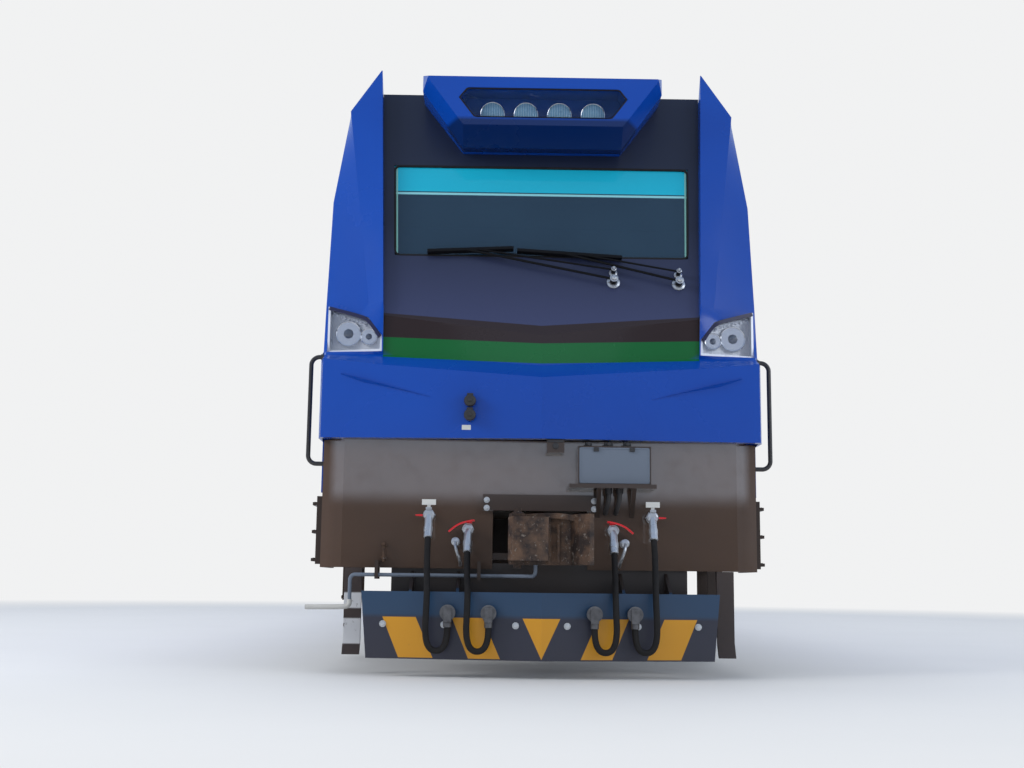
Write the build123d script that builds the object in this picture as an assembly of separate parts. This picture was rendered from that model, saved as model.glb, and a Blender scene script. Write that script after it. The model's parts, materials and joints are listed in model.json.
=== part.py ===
from build123d import *
import math
import os

# Six-axle electric locomotive, at full size, in millimetres.
# X is across the track, Y along it with the A end at -Y, and Z is up.
# Z = 0 is the lowest point of the wheel flanges, so the rail head is at rail_top.

os.makedirs("parts", exist_ok=True)

# Track and wheels
rail_top = 28.0
flange_height = rail_top
wheel_radius = 625.0
back_to_back = 1353.0
rim_width = 138.0
flange_width = 33.0
rim_depth = 75.0
web_thickness = 32.0
hub_radius = 135.0
hub_length = 190.0
axle_radius = 95.0
journal_radius = 75.0
journal_clearance = 0.08
axle_half_length = 1165.0
axle_z = rail_top + wheel_radius
move_clearance = 8.0
seat_clearance = 0.3

# Body
body_length = 20800.0
body_half_width = 1570.0
wall = 70.0
skirt_z = 1250.0
floor_z = 1640.0
floor_thickness = 110.0
cant_z = 3450.0
ceiling_z = 3800.0
shoulder_x = 1480.0
shoulder_z = 4200.0
roof_z = 4380.0
roof_edge_x = 1235.0
machine_roof_z = 4120.0
machine_roof_edge_x = 1250.0
machine_shoulder_z = 3960.0

# Depths from the front plane of the cab, and heights, along the nose
shell_half_width = 1545.0
shell_bottom_z = 1615.0
shell_thickness = 60.0
ledge_z = 2046.0
ledge_end_z = 2177.0
ledge_reach = 100.0
band_bottom_z = 2149.0
band_end_z = 2224.0
mask_bottom_z = 2369.0
mask_end_z = 2506.0
mask_half_bottom = 1130.0
blade_foot_z = 2600.0
blade_tip_z = 4556.0
blade_tip_x = 1240.0
mask_lean = 0.2884
mask_thickness = 60.0
blade_proud = 68.0
blade_proud_top = 97.0
crease_foot = (1248.0, 120.0)
crease_top_x = 1470.0
crease_top_depth = 500.0
side_foot_depth = 250.0
blade_wrap = 60.0

# Windows
screen_bottom_z = 2985.0
screen_top_z = 3745.0
screen_half_bottom = 1078.0
screen_half_top = 1115.0
glass_thickness = 22.0
side_window_front = 720.0
side_window_rear = 1350.0
side_window_bottom_z = 2560.0
side_window_top_z = 3280.0

# Brow lamp housing over the windscreen
pod_front_depth = 120.0
pod_back_depth = 300.0
pod_front_top = (853.0, 4342.0)
pod_front_bottom = (592.0, 3968.0)
pod_back_top = (905.0, 4412.0)
pod_back_shoulder = (905.0, 4290.0)
pod_back_bottom = (596.0, 3852.0)
pod_window = ((570.0, 4252.0), (628.0, 4178.0), (514.0, 4029.0))
pod_pocket_depth = 210.0
pod_pane = 8.0
brow_lamp_radius = 94.0
brow_lamp_z = 4092.0
brow_lamp_spacing = 251.0
brow_lamp_length = 90.0
brow_lamp_count = 4

# Headlamps in the cab corners
lamp_outer_z = 2590.0
lamp_inner_z = 2495.0
lamp_inner_x = 1246.0
lamp_point_z = 2358.0
lamp_foot_z = 2246.0
lamp_foot_x = 1140.0
lamp_inner_depth = 75.0
lamp_outer_depth = 190.0
lamp_body_depth = 110.0

# Cab doors
door_front = 1560.0
door_width = 690.0
door_thickness = 48.0
door_play = 6.0
door_sill = 60.0
door_window_z = (2560.0, 3280.0)
door_window_margin = 150.0
door_inset = 8.0
door_pin = 9.0
door_pin_depth = 20.0
shaft_play = 0.08
cab_length = door_front + door_width + 60.0
bulkhead_thickness = 60.0

# Front end below the nose
apron_depth = 50.0
apron_thickness = 25.0
apron_bottom_z = 717.0
apron_half_width = 1380.0
apron_corner_depth = 200.0
apron_return = 780.0
coupler_z = rail_top + 880.0
coupler_reach = 600.0
coupler_opening_half = 330.0
coupler_opening_top_z = 1120.0
draft_bottom_z = apron_bottom_z + 40
shank_half = 80.0
yoke_end = 1250.0
tip_depth = -coupler_reach - 15
striker_half_width = 400.0
striker_top_z = 1232.0
plough_top_z = 560.0
plough_bottom_z = 119.0
plough_half_top = 1205.0
plough_half_bottom = 1165.0
plough_nose_depth = -385.0
plough_end_depth = -215.0
plough_thickness = 22.0

# Bogies
bogie_centre = 5350.0
axle_spacing = 2150.0
side_beam_x = 1060.0
side_beam_width = 170.0
side_beam_top_z = 1120.0
side_beam_bottom_z = 930.0
side_beam_drop_z = 700.0
side_beam_end = 2950.0
box_half = 175.0
primary_spring_radius = 95.0
primary_spring_offset = 330.0
secondary_spring_radius = 150.0
secondary_spring_offset = axle_spacing / 2

front = -body_length / 2
door_hinge_y = door_front + door_width - door_play - 14


def block(x0, x1, y0, y1, z0, z1):
    """A rectangular block between two corners."""
    middle = ((x0 + x1) / 2, (y0 + y1) / 2, (z0 + z1) / 2)
    return Pos(*middle) * Box(abs(x1 - x0), abs(y1 - y0), abs(z1 - z0))


def face_of(points):
    """A flat face inside a closed run of 3-D points."""
    return Face(Wire.make_polygon([Vector(*p) for p in points], close=True))


def along_x(outline, x0, x1):
    """A prism whose (y, z) outline runs from x0 to x1."""
    return extrude(face_of([(x0, y, z) for y, z in outline]), amount=x1 - x0, dir=(1, 0, 0))


def along_y(outline, y0, y1):
    """A prism whose (x, z) outline runs from y0 to y1."""
    return extrude(face_of([(x, y0, z) for x, z in outline]), amount=y1 - y0, dir=(0, 1, 0))


def along_z(outline, z0, z1):
    """A prism whose (x, y) outline runs from z0 to z1."""
    return extrude(face_of([(x, y, z0) for x, y in outline]), amount=z1 - z0, dir=(0, 0, 1))


def ruled(sections):
    """A solid ruled between closed 3-D sections with the same number of points."""
    wires = [Wire.make_polygon([Vector(*p) for p in s], close=True) for s in sections]
    return Solid.make_loft(wires, ruled=True)


def rod(start, end, radius, end_radius=None):
    """A round bar, or a taper, from one point to another."""
    a, b = Vector(*start), Vector(*end)
    plane = Plane(origin=a, z_dir=b - a)
    if end_radius is None:
        return plane * Cylinder(radius, (b - a).length, align=(Align.CENTER, Align.CENTER, Align.MIN))
    return plane * Cone(radius, end_radius, (b - a).length, align=(Align.CENTER, Align.CENTER, Align.MIN))


def bent_tube(points, bend, radius):
    """A round tube along straight runs that are joined by arcs."""
    path = FilletPolyline(*[Vector(*p) for p in points], radius=bend)
    start = Plane(origin=path @ 0, z_dir=path % 0)
    return sweep(start * Circle(radius), path=path)


def turned(outline, centre, axis="X"):
    """A body of revolution: outline points are (along, radius) about X, Y or Z through centre."""
    if axis == "X":
        plane = Plane(origin=centre, x_dir=(1, 0, 0), z_dir=(0, -1, 0))
        line = Axis(centre, (1, 0, 0))
    elif axis == "Y":
        plane = Plane(origin=centre, x_dir=(0, 1, 0), z_dir=(1, 0, 0))
        line = Axis(centre, (0, 1, 0))
    else:
        plane = Plane(origin=centre, x_dir=(0, 0, 1), z_dir=(0, 1, 0))
        line = Axis(centre, (0, 0, 1))
    points = [plane.from_local_coords((a, r)) for a, r in outline]
    return revolve(Face(Wire.make_polygon(points, close=True)), axis=line, revolution_arc=360)


def solids_of(shapes):
    """Every solid of a list of shapes."""
    found = []
    for shape in shapes:
        found += shape.solids() if hasattr(shape, "solids") else list(shape)
    return found


def fuse(*shapes):
    """One solid from shapes that touch or cross."""
    result = shapes[0]
    for shape in shapes[1:]:
        result = result + shape
    return result


def both_sides(shapes):
    """Shapes and their mirror images across the centre line."""
    solids = solids_of(shapes)
    return solids + [mirror(s, about=Plane.YZ) for s in solids]


def both_ends(shapes):
    """Shapes of the A end, in depths from its front plane, set at both ends of the body."""
    solids = [Pos(0, front, 0) * s for s in solids_of(shapes)]
    return solids + [Rot(0, 0, 180) * s for s in solids]


def save(node, shapes):
    """Write one node's solids to its STEP file."""
    solids = solids_of(shapes)
    export_step(solids[0] if len(solids) == 1 else Compound(children=solids), f"parts/{node}.step")


# Lines that the body's outer skin follows

def skin_x(z):
    """Half width of the body side at a height: upright, then leaning in above the cant rail."""
    lean = (body_half_width - shoulder_x) / (shoulder_z - cant_z)
    return body_half_width - max(0.0, z - cant_z) * lean


def mask_y(z):
    """Depth of the flat window mask at a height."""
    return 20.0 + (z - mask_bottom_z) * mask_lean


def inner_x(z):
    """Half width of the mask between the corner blades."""
    return mask_half_bottom + (z - mask_end_z) * (blade_tip_x - mask_half_bottom) / (blade_tip_z - mask_end_z)


door_hinge_x = skin_x(ceiling_z) - door_inset - door_thickness


def blade_share(z):
    return (z - blade_foot_z) / (shoulder_z - blade_foot_z)


roof_front = mask_y(roof_z) + mask_thickness
cab_side_front = side_foot_depth + blade_wrap


def blade_lines(z):
    """Front edge, crease and body side of a corner blade at a height, each as (x, depth)."""
    share = blade_share(z)
    proud = blade_proud + share * (blade_proud_top - blade_proud)
    edge = (inner_x(z), mask_y(z) - proud)
    crease = (crease_foot[0] + share * (crease_top_x - crease_foot[0]),
              crease_foot[1] + share * (crease_top_depth - crease_foot[1]))
    side = (skin_x(z), side_foot_depth + share * (roof_front - blade_wrap - side_foot_depth))
    return edge, crease, side


def side_wall(outline):
    """A side wall from its (depth, z) outline, cut from the body's bent wall section."""
    low = min(z for _, z in outline)
    high = max(z for _, z in outline)
    levels = [low] + ([cant_z] if low < cant_z < high else []) + [high]
    section = [(skin_x(z), z) for z in levels] + [(skin_x(z) - wall, z) for z in reversed(levels)]
    depths = [y for y, _ in outline]
    slab = along_y(section, min(depths), max(depths))
    return slab & along_x(outline, body_half_width - 4 * wall, body_half_width + wall)


# Nose, mask and corner blades of the cab

def nose_section(x, band_top, band_low, ledge, front_y, top_depth, back=None):
    """One upright (y, z) section of the nose panel, outer face first, then inner."""
    outer = [(top_depth, band_top), (front_y + 2 * shell_thickness, band_low), (front_y, ledge),
             (front_y, shell_bottom_z)]
    inner = [(y + shell_thickness * 1.4 if back is None else back, z) for y, z in reversed(outer)]
    return [(x, y, z) for y, z in outer + inner]


def nose():
    """Blue nose panel: a shallow prow with a ledge under the green band."""
    centre = nose_section(0, mask_bottom_z, band_bottom_z, ledge_z, -ledge_reach, mask_y(mask_bottom_z))
    middle = nose_section(mask_half_bottom, mask_end_z, band_end_z, ledge_end_z - 45, -30.0, mask_y(mask_end_z))
    shoulder = nose_section(mask_half_bottom, lamp_foot_z, lamp_foot_z - 20, ledge_end_z - 45, -30.0,
                            lamp_inner_depth)
    corner = nose_section(shell_half_width, lamp_foot_z, lamp_foot_z - 20, ledge_end_z, 0.0,
                          lamp_inner_depth + 60)
    side = nose_section(body_half_width, lamp_foot_z, lamp_foot_z - 20, ledge_end_z, 90.0, lamp_outer_depth,
                        cab_side_front)
    half = fuse(ruled([centre, middle]), ruled([shoulder, corner]), ruled([corner, side]))
    return fuse(half, mirror(half, about=Plane.YZ))


def mask():
    """Flat leaning mask round the windscreen, with a shallow V for its lower edge."""
    low, high = mask_half_bottom - seat_clearance, inner_x(roof_z) - seat_clearance
    outline = [(0, mask_bottom_z), (low, mask_end_z), (high, roof_z), (-high, roof_z), (-low, mask_end_z)]
    profile = [(mask_y(mask_bottom_z), mask_bottom_z), (mask_y(roof_z), roof_z),
               (mask_y(roof_z) + mask_thickness, roof_z),
               (mask_y(mask_bottom_z) + mask_thickness, mask_bottom_z)]
    plate = along_x(profile, -inner_x(roof_z), inner_x(roof_z))
    return (plate & along_y(outline, -200, 900)) - screen_prism(0.0)


def screen_prism(inset):
    """The windscreen's outline run through the mask."""
    b, t = screen_half_bottom - inset, screen_half_top - inset
    outline = [(-b, screen_bottom_z + inset), (b, screen_bottom_z + inset),
               (t, screen_top_z - inset), (-t, screen_top_z - inset)]
    return along_y(outline, -200, 900)


def windscreen():
    """One flat laminated pane set into the mask."""
    set_back = 14.0
    profile = [(mask_y(z) + set_back + d, z) for z, d in
               ((screen_bottom_z, 0), (screen_top_z, 0), (screen_top_z, glass_thickness),
                (screen_bottom_z, glass_thickness))]
    return along_x(profile, -screen_half_top, screen_half_top) & screen_prism(seat_clearance)


def blade():
    """Corner pillar whose front edge stands proud of the mask and ends in a raised tip."""
    sections = []
    for z in (blade_foot_z, cant_z, shoulder_z):
        edge, crease, side = blade_lines(z)
        back = side[1] + blade_wrap
        sections.append([(edge[0], edge[1], z), (crease[0], crease[1], z), (side[0], side[1], z),
                         (side[0], back, z), (side[0] - wall, back, z),
                         (edge[0], mask_y(z) + mask_thickness, z)])
    tip = (blade_tip_x, mask_y(blade_tip_z) - blade_proud_top, blade_tip_z)
    top = [tuple(t + 0.03 * (c - t) for t, c in zip(tip[:2], p[:2])) + (blade_tip_z,) for p in sections[-1]]
    top[-1] = (tip[0], top[-1][1], blade_tip_z)
    return fuse(ruled(sections[:2]), ruled(sections[1:3]), ruled([sections[2], top]))


def headlamp():
    """Five-sided headlamp block that fills the corner between nose and blade."""
    top_inner = (lamp_inner_x, lamp_inner_z)
    outline = [(lamp_foot_x, lamp_foot_z + 2), (lamp_foot_x, lamp_point_z), top_inner,
               (shell_half_width, lamp_outer_z), (shell_half_width, lamp_foot_z + 2)]
    depth_in, depth_out = lamp_inner_depth, lamp_outer_depth
    plan = [(lamp_foot_x, depth_in), (shell_half_width, depth_out),
            (shell_half_width, depth_out + lamp_body_depth), (lamp_foot_x, depth_in + lamp_body_depth)]
    return along_y(outline, -100, 600) & along_z(plan, lamp_foot_z, lamp_outer_z + 10)


def lamp_surround():
    """Blue corner panel that frames the headlamp, up to the foot of the blade."""
    edge, crease, side = blade_lines(blade_foot_z)
    back = side[1] + blade_wrap
    plan = [edge, crease, side, (side[0], back), (side[0] - wall, back),
            (edge[0], mask_y(blade_foot_z) + mask_thickness)]
    base = [(mask_half_bottom, lamp_inner_depth - 8), (shell_half_width, lamp_outer_depth - 30),
            (side[0], lamp_outer_depth), (side[0], back), (side[0] - wall, back),
            (mask_half_bottom, mask_y(mask_end_z) + mask_thickness)]
    share = (mask_end_z - lamp_foot_z) / (blade_foot_z - lamp_foot_z)
    middle = [tuple(b + share * (p - b) for b, p in zip(low, top)) for low, top in zip(base, plan)]
    middle[0] = (mask_half_bottom, middle[0][1])
    middle[-1] = (mask_half_bottom, base[-1][1])
    levels = ((lamp_foot_z, base), (mask_end_z, middle), (blade_foot_z, plan))
    rings = [[(x, y, z) for x, y in ring] for z, ring in levels]
    solid = fuse(ruled(rings[:2]), ruled(rings[1:]))
    pocket = [(lamp_foot_x, lamp_foot_z - 5), (lamp_foot_x, lamp_point_z), (lamp_inner_x, lamp_inner_z),
              (shell_half_width, lamp_outer_z), (shell_half_width, lamp_foot_z - 5)]
    return solid - along_y(pocket, -100, 600)


# Cab sides, roof and brow lamp housing

def cab_side():
    """Side panel between the blade and the door, with its window."""
    def lean_depth(z):
        return blade_lines(z)[2][1] + blade_wrap
    outline = [(cab_side_front, skirt_z), (cab_side_front, blade_foot_z),
               (lean_depth(ceiling_z), ceiling_z), (door_front, ceiling_z), (door_front, skirt_z)]
    panel = side_wall(outline)
    return panel - block(body_half_width - 2 * wall, body_half_width + wall, side_window_front,
                         side_window_rear, side_window_bottom_z, side_window_top_z)


def side_window():
    """Pane of the cab's side window."""
    x = body_half_width - wall / 2
    return block(x - 6, x + 6, side_window_front + seat_clearance, side_window_rear - seat_clearance,
                 side_window_bottom_z + seat_clearance, side_window_top_z - seat_clearance)


def cab_roof():
    """Roof and ceiling of the cab, from the mask to the machine room."""
    section = [(skin_x(ceiling_z), ceiling_z), (shoulder_x, shoulder_z), (roof_edge_x, roof_z),
               (-roof_edge_x, roof_z), (-shoulder_x, shoulder_z), (-skin_x(ceiling_z), ceiling_z)]
    slab = along_y(section, roof_front, cab_length + bulkhead_thickness)
    tail = [(cab_length - 500, roof_z + 1), (cab_length + bulkhead_thickness + 1, machine_roof_z + 60),
            (cab_length + bulkhead_thickness + 1, roof_z + 1)]
    slab = slab - along_x(tail, -2000, 2000)
    wedge = [(mask_y(ceiling_z) + mask_thickness, ceiling_z), (roof_front, roof_z), (roof_front, ceiling_z)]
    return fuse(slab, along_x(wedge, -inner_x(ceiling_z), inner_x(ceiling_z))) - door_bores()


def mask_half_space(gap):
    """Everything behind the mask's outer face."""
    low, high = 3400.0, 4900.0
    return along_x([(mask_y(low) - gap, low), (mask_y(high) - gap, high), (3000, high), (3000, low)], -1500, 1500)


def pod():
    """Hooded lamp housing that juts out over the windscreen, with a six-sided window."""
    def ring(y, top, shoulder, bottom):
        right = [bottom, shoulder, top]
        return [(x, y, z) for x, z in right] + [(-x, y, z) for x, z in reversed(right)]
    mid = ((pod_front_top[0] + 8, pod_front_top[1] - 12))
    face = ring(pod_front_depth, pod_front_top, mid, pod_front_bottom)
    rear = ring(pod_back_depth, pod_back_top, pod_back_shoulder, pod_back_bottom)
    deep = ring(roof_front + 200, pod_back_top, pod_back_shoulder, pod_back_bottom)
    body = fuse(ruled([face, rear]), ruled([rear, deep])) - mask_half_space(0)
    pocket = along_y(pod_window_outline(0), pod_front_depth - 20, pod_front_depth + pod_pocket_depth)
    room = block(-560, 560, pod_front_depth + 25, pod_front_depth + pod_pocket_depth,
                 brow_lamp_z - brow_lamp_radius - 6, pod_window[0][1])
    return body - pocket - (room & along_y(pod_room_outline(), 0, 900))


def pod_room_outline():
    """Inside outline of the housing, a wall inside its face."""
    (tx, tz), (bx, bz) = pod_front_top, pod_front_bottom
    return [(bx - 40, bz + 14), (tx - 120, tz - 40), (-(tx - 120), tz - 40), (-(bx - 40), bz + 14)]


def pod_window_outline(inset):
    """The six-sided lamp window."""
    (ax, az), (bx, bz), (cx, cz) = pod_window
    right = [(cx - inset, cz + inset), (bx - inset, bz), (ax - inset, az - inset)]
    return right + [(-x, z) for x, z in reversed(right)]


def brow_lamps():
    """Round lamps side by side behind the window."""
    first = -brow_lamp_spacing * (brow_lamp_count - 1) / 2
    back = pod_front_depth + pod_pocket_depth
    lamps = []
    for i in range(brow_lamp_count):
        centre = (first + i * brow_lamp_spacing, back, brow_lamp_z)
        outline = [(0, 0), (0, brow_lamp_radius * 0.6), (-brow_lamp_length, brow_lamp_radius),
                   (-brow_lamp_length - 12, brow_lamp_radius), (-brow_lamp_length - 12, 0)]
        lamps.append(turned(outline, centre, "Y"))
    return lamps


def pod_pane_plate():
    """Pane of the lamp window."""
    return along_y(pod_window_outline(seat_clearance), pod_front_depth + 10, pod_front_depth + 10 + pod_pane)


# Doors, bulkheads and inside of the cab

def door():
    """Door leaf of the right-hand side of the A end, hinged at its rear inner edge."""
    y0, y1 = door_front + door_play, door_front + door_width - door_play
    z0, z1 = floor_z + door_sill + door_play, ceiling_z - door_play
    inset = door_inset
    levels = [z0, cant_z, z1]
    section = [(skin_x(z) - inset, z) for z in levels]
    section += [(skin_x(z) - inset - door_thickness, z) for z in reversed(levels)]
    leaf = along_y(section, y0, y1)
    leaf -= block(body_half_width - 2 * wall, body_half_width + wall, y0 + door_window_margin,
                  y1 - door_window_margin, *door_window_z)
    y = door_hinge_y
    lug = block(door_hinge_x - 12, skin_x(z0) - inset - 1, y - 14, y + 14, z0, z0 + 60)
    pins = [rod((door_hinge_x, y, floor_z - door_pin_depth + 2), (door_hinge_x, y, z0 + 30), door_pin),
            rod((door_hinge_x, y, z1 - 40), (door_hinge_x, y, ceiling_z + door_pin_depth - 2), door_pin)]
    return fuse(leaf, lug, *pins)


def door_bores():
    """Sockets of the door's pins in the floor and the roof."""
    half = [rod((door_hinge_x, door_hinge_y, z - door_pin_depth), (door_hinge_x, door_hinge_y, z + door_pin_depth),
                door_pin + shaft_play) for z in (floor_z, ceiling_z)]
    return fuse(*half, *[mirror(h, about=Plane.YZ) for h in half])


def bulkhead():
    """Wall between the cab and the machine room."""
    levels = (floor_z, cant_z, ceiling_z)
    right = [(skin_x(z) - wall, z) for z in levels]
    outline = right + [(-x, z) for x, z in reversed(right)]
    return along_y(outline, cab_length, cab_length + bulkhead_thickness)


def desk():
    """Driving desk across the cab, with its raised instrument panel."""
    outline = [(420, floor_z), (760, floor_z), (760, 2350), (960, 2440), (960, 2490), (700, 2540),
               (560, 2800), (420, 2830)]
    return along_x(outline, -1050, 1050)


def seat(x):
    """Driver's chair on its pedestal."""
    base = block(x - 60, x + 60, 1190, 1310, floor_z, 2060)
    cushion = block(x - 250, x + 250, 1020, 1450, 2060, 2180)
    back = along_x([(1400, 2180), (1500, 2180), (1560, 2860), (1490, 2860)], x - 240, x + 240)
    return fuse(base, cushion, back)


def door_sill_panel():
    """Body panel under the door."""
    y0, y1 = door_front + seat_clearance, door_front + door_width - seat_clearance
    top = floor_z + door_sill
    return side_wall([(y0, skirt_z), (y0, top), (y1, top), (y1, skirt_z)])


# Machine room body and its louvres

def machine_wall():
    """Long side wall of the machine room, open behind each louvre bank."""
    low = front + door_front + door_width
    outline = [(low, skirt_z), (low, ceiling_z), (-low, ceiling_z), (-low, skirt_z)]
    wall_solid = side_wall(outline)
    for y in louvre_places:
        wall_solid -= block(body_half_width - 3 * wall, body_half_width + wall, y - louvre_half, y + louvre_half,
                            louvre_bottom_z, louvre_top_z)
    return wall_solid


def louvre_bank(y):
    """One framed bank of slanting slats."""
    x1 = body_half_width + 6
    x0 = body_half_width - wall + 4
    half = louvre_half - seat_clearance
    z0, z1 = louvre_bottom_z + seat_clearance, louvre_top_z - seat_clearance
    frame = block(x0, x1, y - half, y + half, z0, z1)
    frame -= block(x0 - 1, x1 + 1, y - half + 28, y + half - 28, z0 + 28, z1 - 28)
    pitch = (z1 - z0 - 56) / louvre_slats
    slats = []
    for i in range(louvre_slats):
        z = z0 + 28 + pitch * i
        outline = [(x0 + 6, z + pitch * 0.55), (x1 - 4, z + 4), (x1 - 4, z + 12), (x0 + 6, z + pitch * 0.55 + 8)]
        slats.append(along_y(outline, y - half + 27, y + half - 27))
    return fuse(frame, *slats)


louvre_half = 640.0
louvre_bottom_z = 2700.0
louvre_top_z = 3400.0
louvre_slats = 9
louvre_pitch = 1560.0
louvre_count = 8
louvre_places = [(i - (louvre_count - 1) / 2) * louvre_pitch for i in range(louvre_count)]


def machine_roof():
    """Three removable roof sections of the machine room."""
    low = front + cab_length + bulkhead_thickness
    section = [(skin_x(ceiling_z), ceiling_z), (shoulder_x + 20, machine_shoulder_z),
               (machine_roof_edge_x, machine_roof_z)]
    section += [(-x, z) for x, z in reversed(section)]
    joint = 12.0
    length = (-2 * low - 2 * joint) / 3
    return [along_y(section, low + i * (length + joint), low + i * (length + joint) + length) for i in range(3)]


# Underframe

deck_half = body_half_width - wall
deck_bottom_z = floor_z - floor_thickness


def deck():
    """Floor plate of the whole body."""
    depth = cab_side_front
    plate = block(-deck_half, deck_half, front + depth, -front - depth, deck_bottom_z, floor_z)
    sockets = Pos(0, front, 0) * door_bores()
    return plate - sockets - Rot(0, 0, 180) * sockets


sole_bar_width = 220.0
pad_width = 180.0
pad_length = 200.0
pad_depth = 20.0
pad_places = (2550.0, 9000.0)


def sole_bar():
    """Box side sill under the floor plate, with a flat jacking pad at each lifting place."""
    x0, x1 = deck_half - sole_bar_width, deck_half
    bar = block(x0, x1, front + apron_return, -front - apron_return, skirt_z, deck_bottom_z)
    middle = (x0 + x1) / 2
    pads = [block(middle - pad_width / 2, middle + pad_width / 2, s * y - pad_length / 2, s * y + pad_length / 2,
                  skirt_z - pad_depth, skirt_z) for y in pad_places for s in (-1, 1)]
    return fuse(bar, *pads)


def draft_box():
    """Centre sill end that carries the coupler's yoke, and the end beam."""
    beam = block(-apron_half_width + 60, apron_half_width - 60, apron_depth + apron_thickness, 360,
                 coupler_opening_top_z, deck_bottom_z)
    sides = [block(s * coupler_opening_half, s * (coupler_opening_half + 60), apron_depth + apron_thickness,
                   1500, draft_bottom_z, deck_bottom_z) for s in (-1, 1)]
    top = block(-coupler_opening_half, coupler_opening_half, 300, 1500, coupler_opening_top_z, deck_bottom_z)
    stop = block(-coupler_opening_half, coupler_opening_half, yoke_end + seat_clearance, yoke_end + 90,
                 draft_bottom_z, deck_bottom_z)
    carrier = block(-coupler_opening_half, coupler_opening_half, apron_depth + apron_thickness,
                    apron_depth + apron_thickness + 110, coupler_z - shank_half - seat_clearance - 45,
                    coupler_z - shank_half - seat_clearance)
    return fuse(beam, top, stop, carrier, *sides)


def bolsters():
    """Cross beams that rest on the secondary springs, and the pivot pin of each bogie."""
    parts = []
    top = side_beam_top_z + secondary_spring_height
    for y in (-secondary_spring_offset, secondary_spring_offset):
        parts.append(block(-deck_half + 220, deck_half - 220, y - 210, y + 210, top + seat_clearance, deck_bottom_z))
    pin = rod((0, 0, pivot_bottom_z), (0, 0, deck_bottom_z), pivot_radius)
    web = block(-260, 260, -secondary_spring_offset + 200, secondary_spring_offset - 200,
                side_beam_top_z + 120, deck_bottom_z)
    return fuse(parts[0], parts[1], web, pin)


secondary_spring_height = 240.0
pivot_radius = 130.0
pivot_bottom_z = 905.0
pivot_play = 0.08


# Front end below the nose

def apron():
    """Black front plate with canted corners and side returns."""
    b, t = apron_depth, apron_thickness
    c, w = apron_corner_depth, shell_half_width
    def plan(end):
        right = [(apron_half_width, b), (w, c), (w, end), (w - t, end), (w - t, c + 8),
                 (apron_half_width - 8, b + t)]
        return right + [(-x, y) for x, y in reversed(right)]
    plate = fuse(along_z(plan(cab_side_front), skirt_z - 10, shell_bottom_z),
                 along_z(plan(apron_return), apron_bottom_z, skirt_z - 10))
    hole = block(-coupler_opening_half, coupler_opening_half, b - 10, b + 2 * t, apron_bottom_z - 5,
                 coupler_opening_top_z)
    return plate - hole


def striker():
    """Striking plate above the coupler."""
    b = apron_depth - seat_clearance
    return block(-striker_half_width, striker_half_width, b - 40, b, coupler_opening_top_z, striker_top_z)


def coupler():
    """Knuckle coupler: cast head with its guard arm, closed knuckle on its pin, shank and yoke."""
    half, lug = 165.0, 24.0
    shank = block(-75, 75, -200, 640, coupler_z - shank_half, coupler_z + shank_half)
    yoke = block(-150, 150, 640, yoke_end, coupler_z - 115, coupler_z + 115)
    head = along_z([(-80, -170), (-190, -290), (-205, -420), (-60, -405), (60, -395), (185, -430), (232, -535),
                    (300, tip_depth + 20), (330, tip_depth + 45), (292, -430), (210, -290), (80, -170)],
                   coupler_z - half, coupler_z + half)
    lugs = [along_z([(-205, -400), (-222, -450), (-205, -505), (-120, -505), (-100, -400)], z, z + lug)
            for z in (coupler_z - half, coupler_z + half - lug)]
    knuckle = along_z([(-215, -418), (-228, -520), (-195, -595), (-115, tip_depth), (-20, tip_depth + 10),
                       (32, -575), (38, -530), (-20, -548), (-72, -552), (-98, -515), (-92, -400)],
                      coupler_z - half + lug, coupler_z + half - lug)
    pin = rod((-165, -452, coupler_z - half - 25), (-165, -452, coupler_z + half + 35), 26)
    return fuse(shank, yoke, head, *lugs, knuckle, pin)


def plough_face(x):
    """Depth of the plough's front face at a distance from the centre line."""
    return plough_nose_depth + (plough_end_depth - plough_nose_depth) * abs(x) / plough_half_top


def plough():
    """Snow and rail guard plate with a shallow prow, its brackets and the rests of the hose heads."""
    n, e, t = plough_nose_depth, plough_end_depth, plough_thickness
    def ring(z, half):
        return [(0, n, z), (half, e, z), (half, e + t, z), (0, n + t, z), (-half, e + t, z), (-half, e, z)]
    plate = ruled([ring(plough_bottom_z, plough_half_bottom), ring(plough_top_z, plough_half_top)])
    carrier = block(-coupler_opening_half - 700, coupler_opening_half + 700, apron_depth + apron_thickness + 5,
                    apron_depth + apron_thickness + 40, plough_top_z - 160, draft_bottom_z - seat_clearance)
    arms = []
    for x in (-880, -560, 560, 880):
        face = plough_face(x) + t / 2
        arms.append(along_x([(face, plough_bottom_z + 120), (face, plough_top_z - 40),
                             (apron_depth + apron_thickness + 5, apron_bottom_z - 20),
                             (apron_depth + apron_thickness + 40, apron_bottom_z - 20),
                             (apron_depth + apron_thickness + 40, plough_top_z - 160)], x - 10, x + 10))
    rests = []
    for route in hose_routes():
        x, y, z = route[-1]
        rests.append(block(x - head_rest_half, x + head_rest_half, y + head_thickness / 2 + seat_clearance,
                           plough_face(x) + t / 2, z + head_rise - 15, z + head_rise + head_rest_half))
    return fuse(plate, carrier, *arms, *rests)


# Brake pipes: angle cocks on the apron, and hoses that hang in front of the plough

cock_rows = ((-770.0, 1080.0), (-500.0, 985.0), (500.0, 985.0), (770.0, 1080.0))
cock_reach = 190.0
cock_drop = 130.0
hose_radius = 21.0
hose_swing = 155.0
hose_stand_off = 56.0
hose_lead = 190.0
hose_shoulder_z = 545.0
hose_low_z = 180.0
hose_end_z = 330.0
head_radius = 52.0
head_thickness = 44.0
head_rise = 95.0
head_rest_half = 34.0


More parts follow.
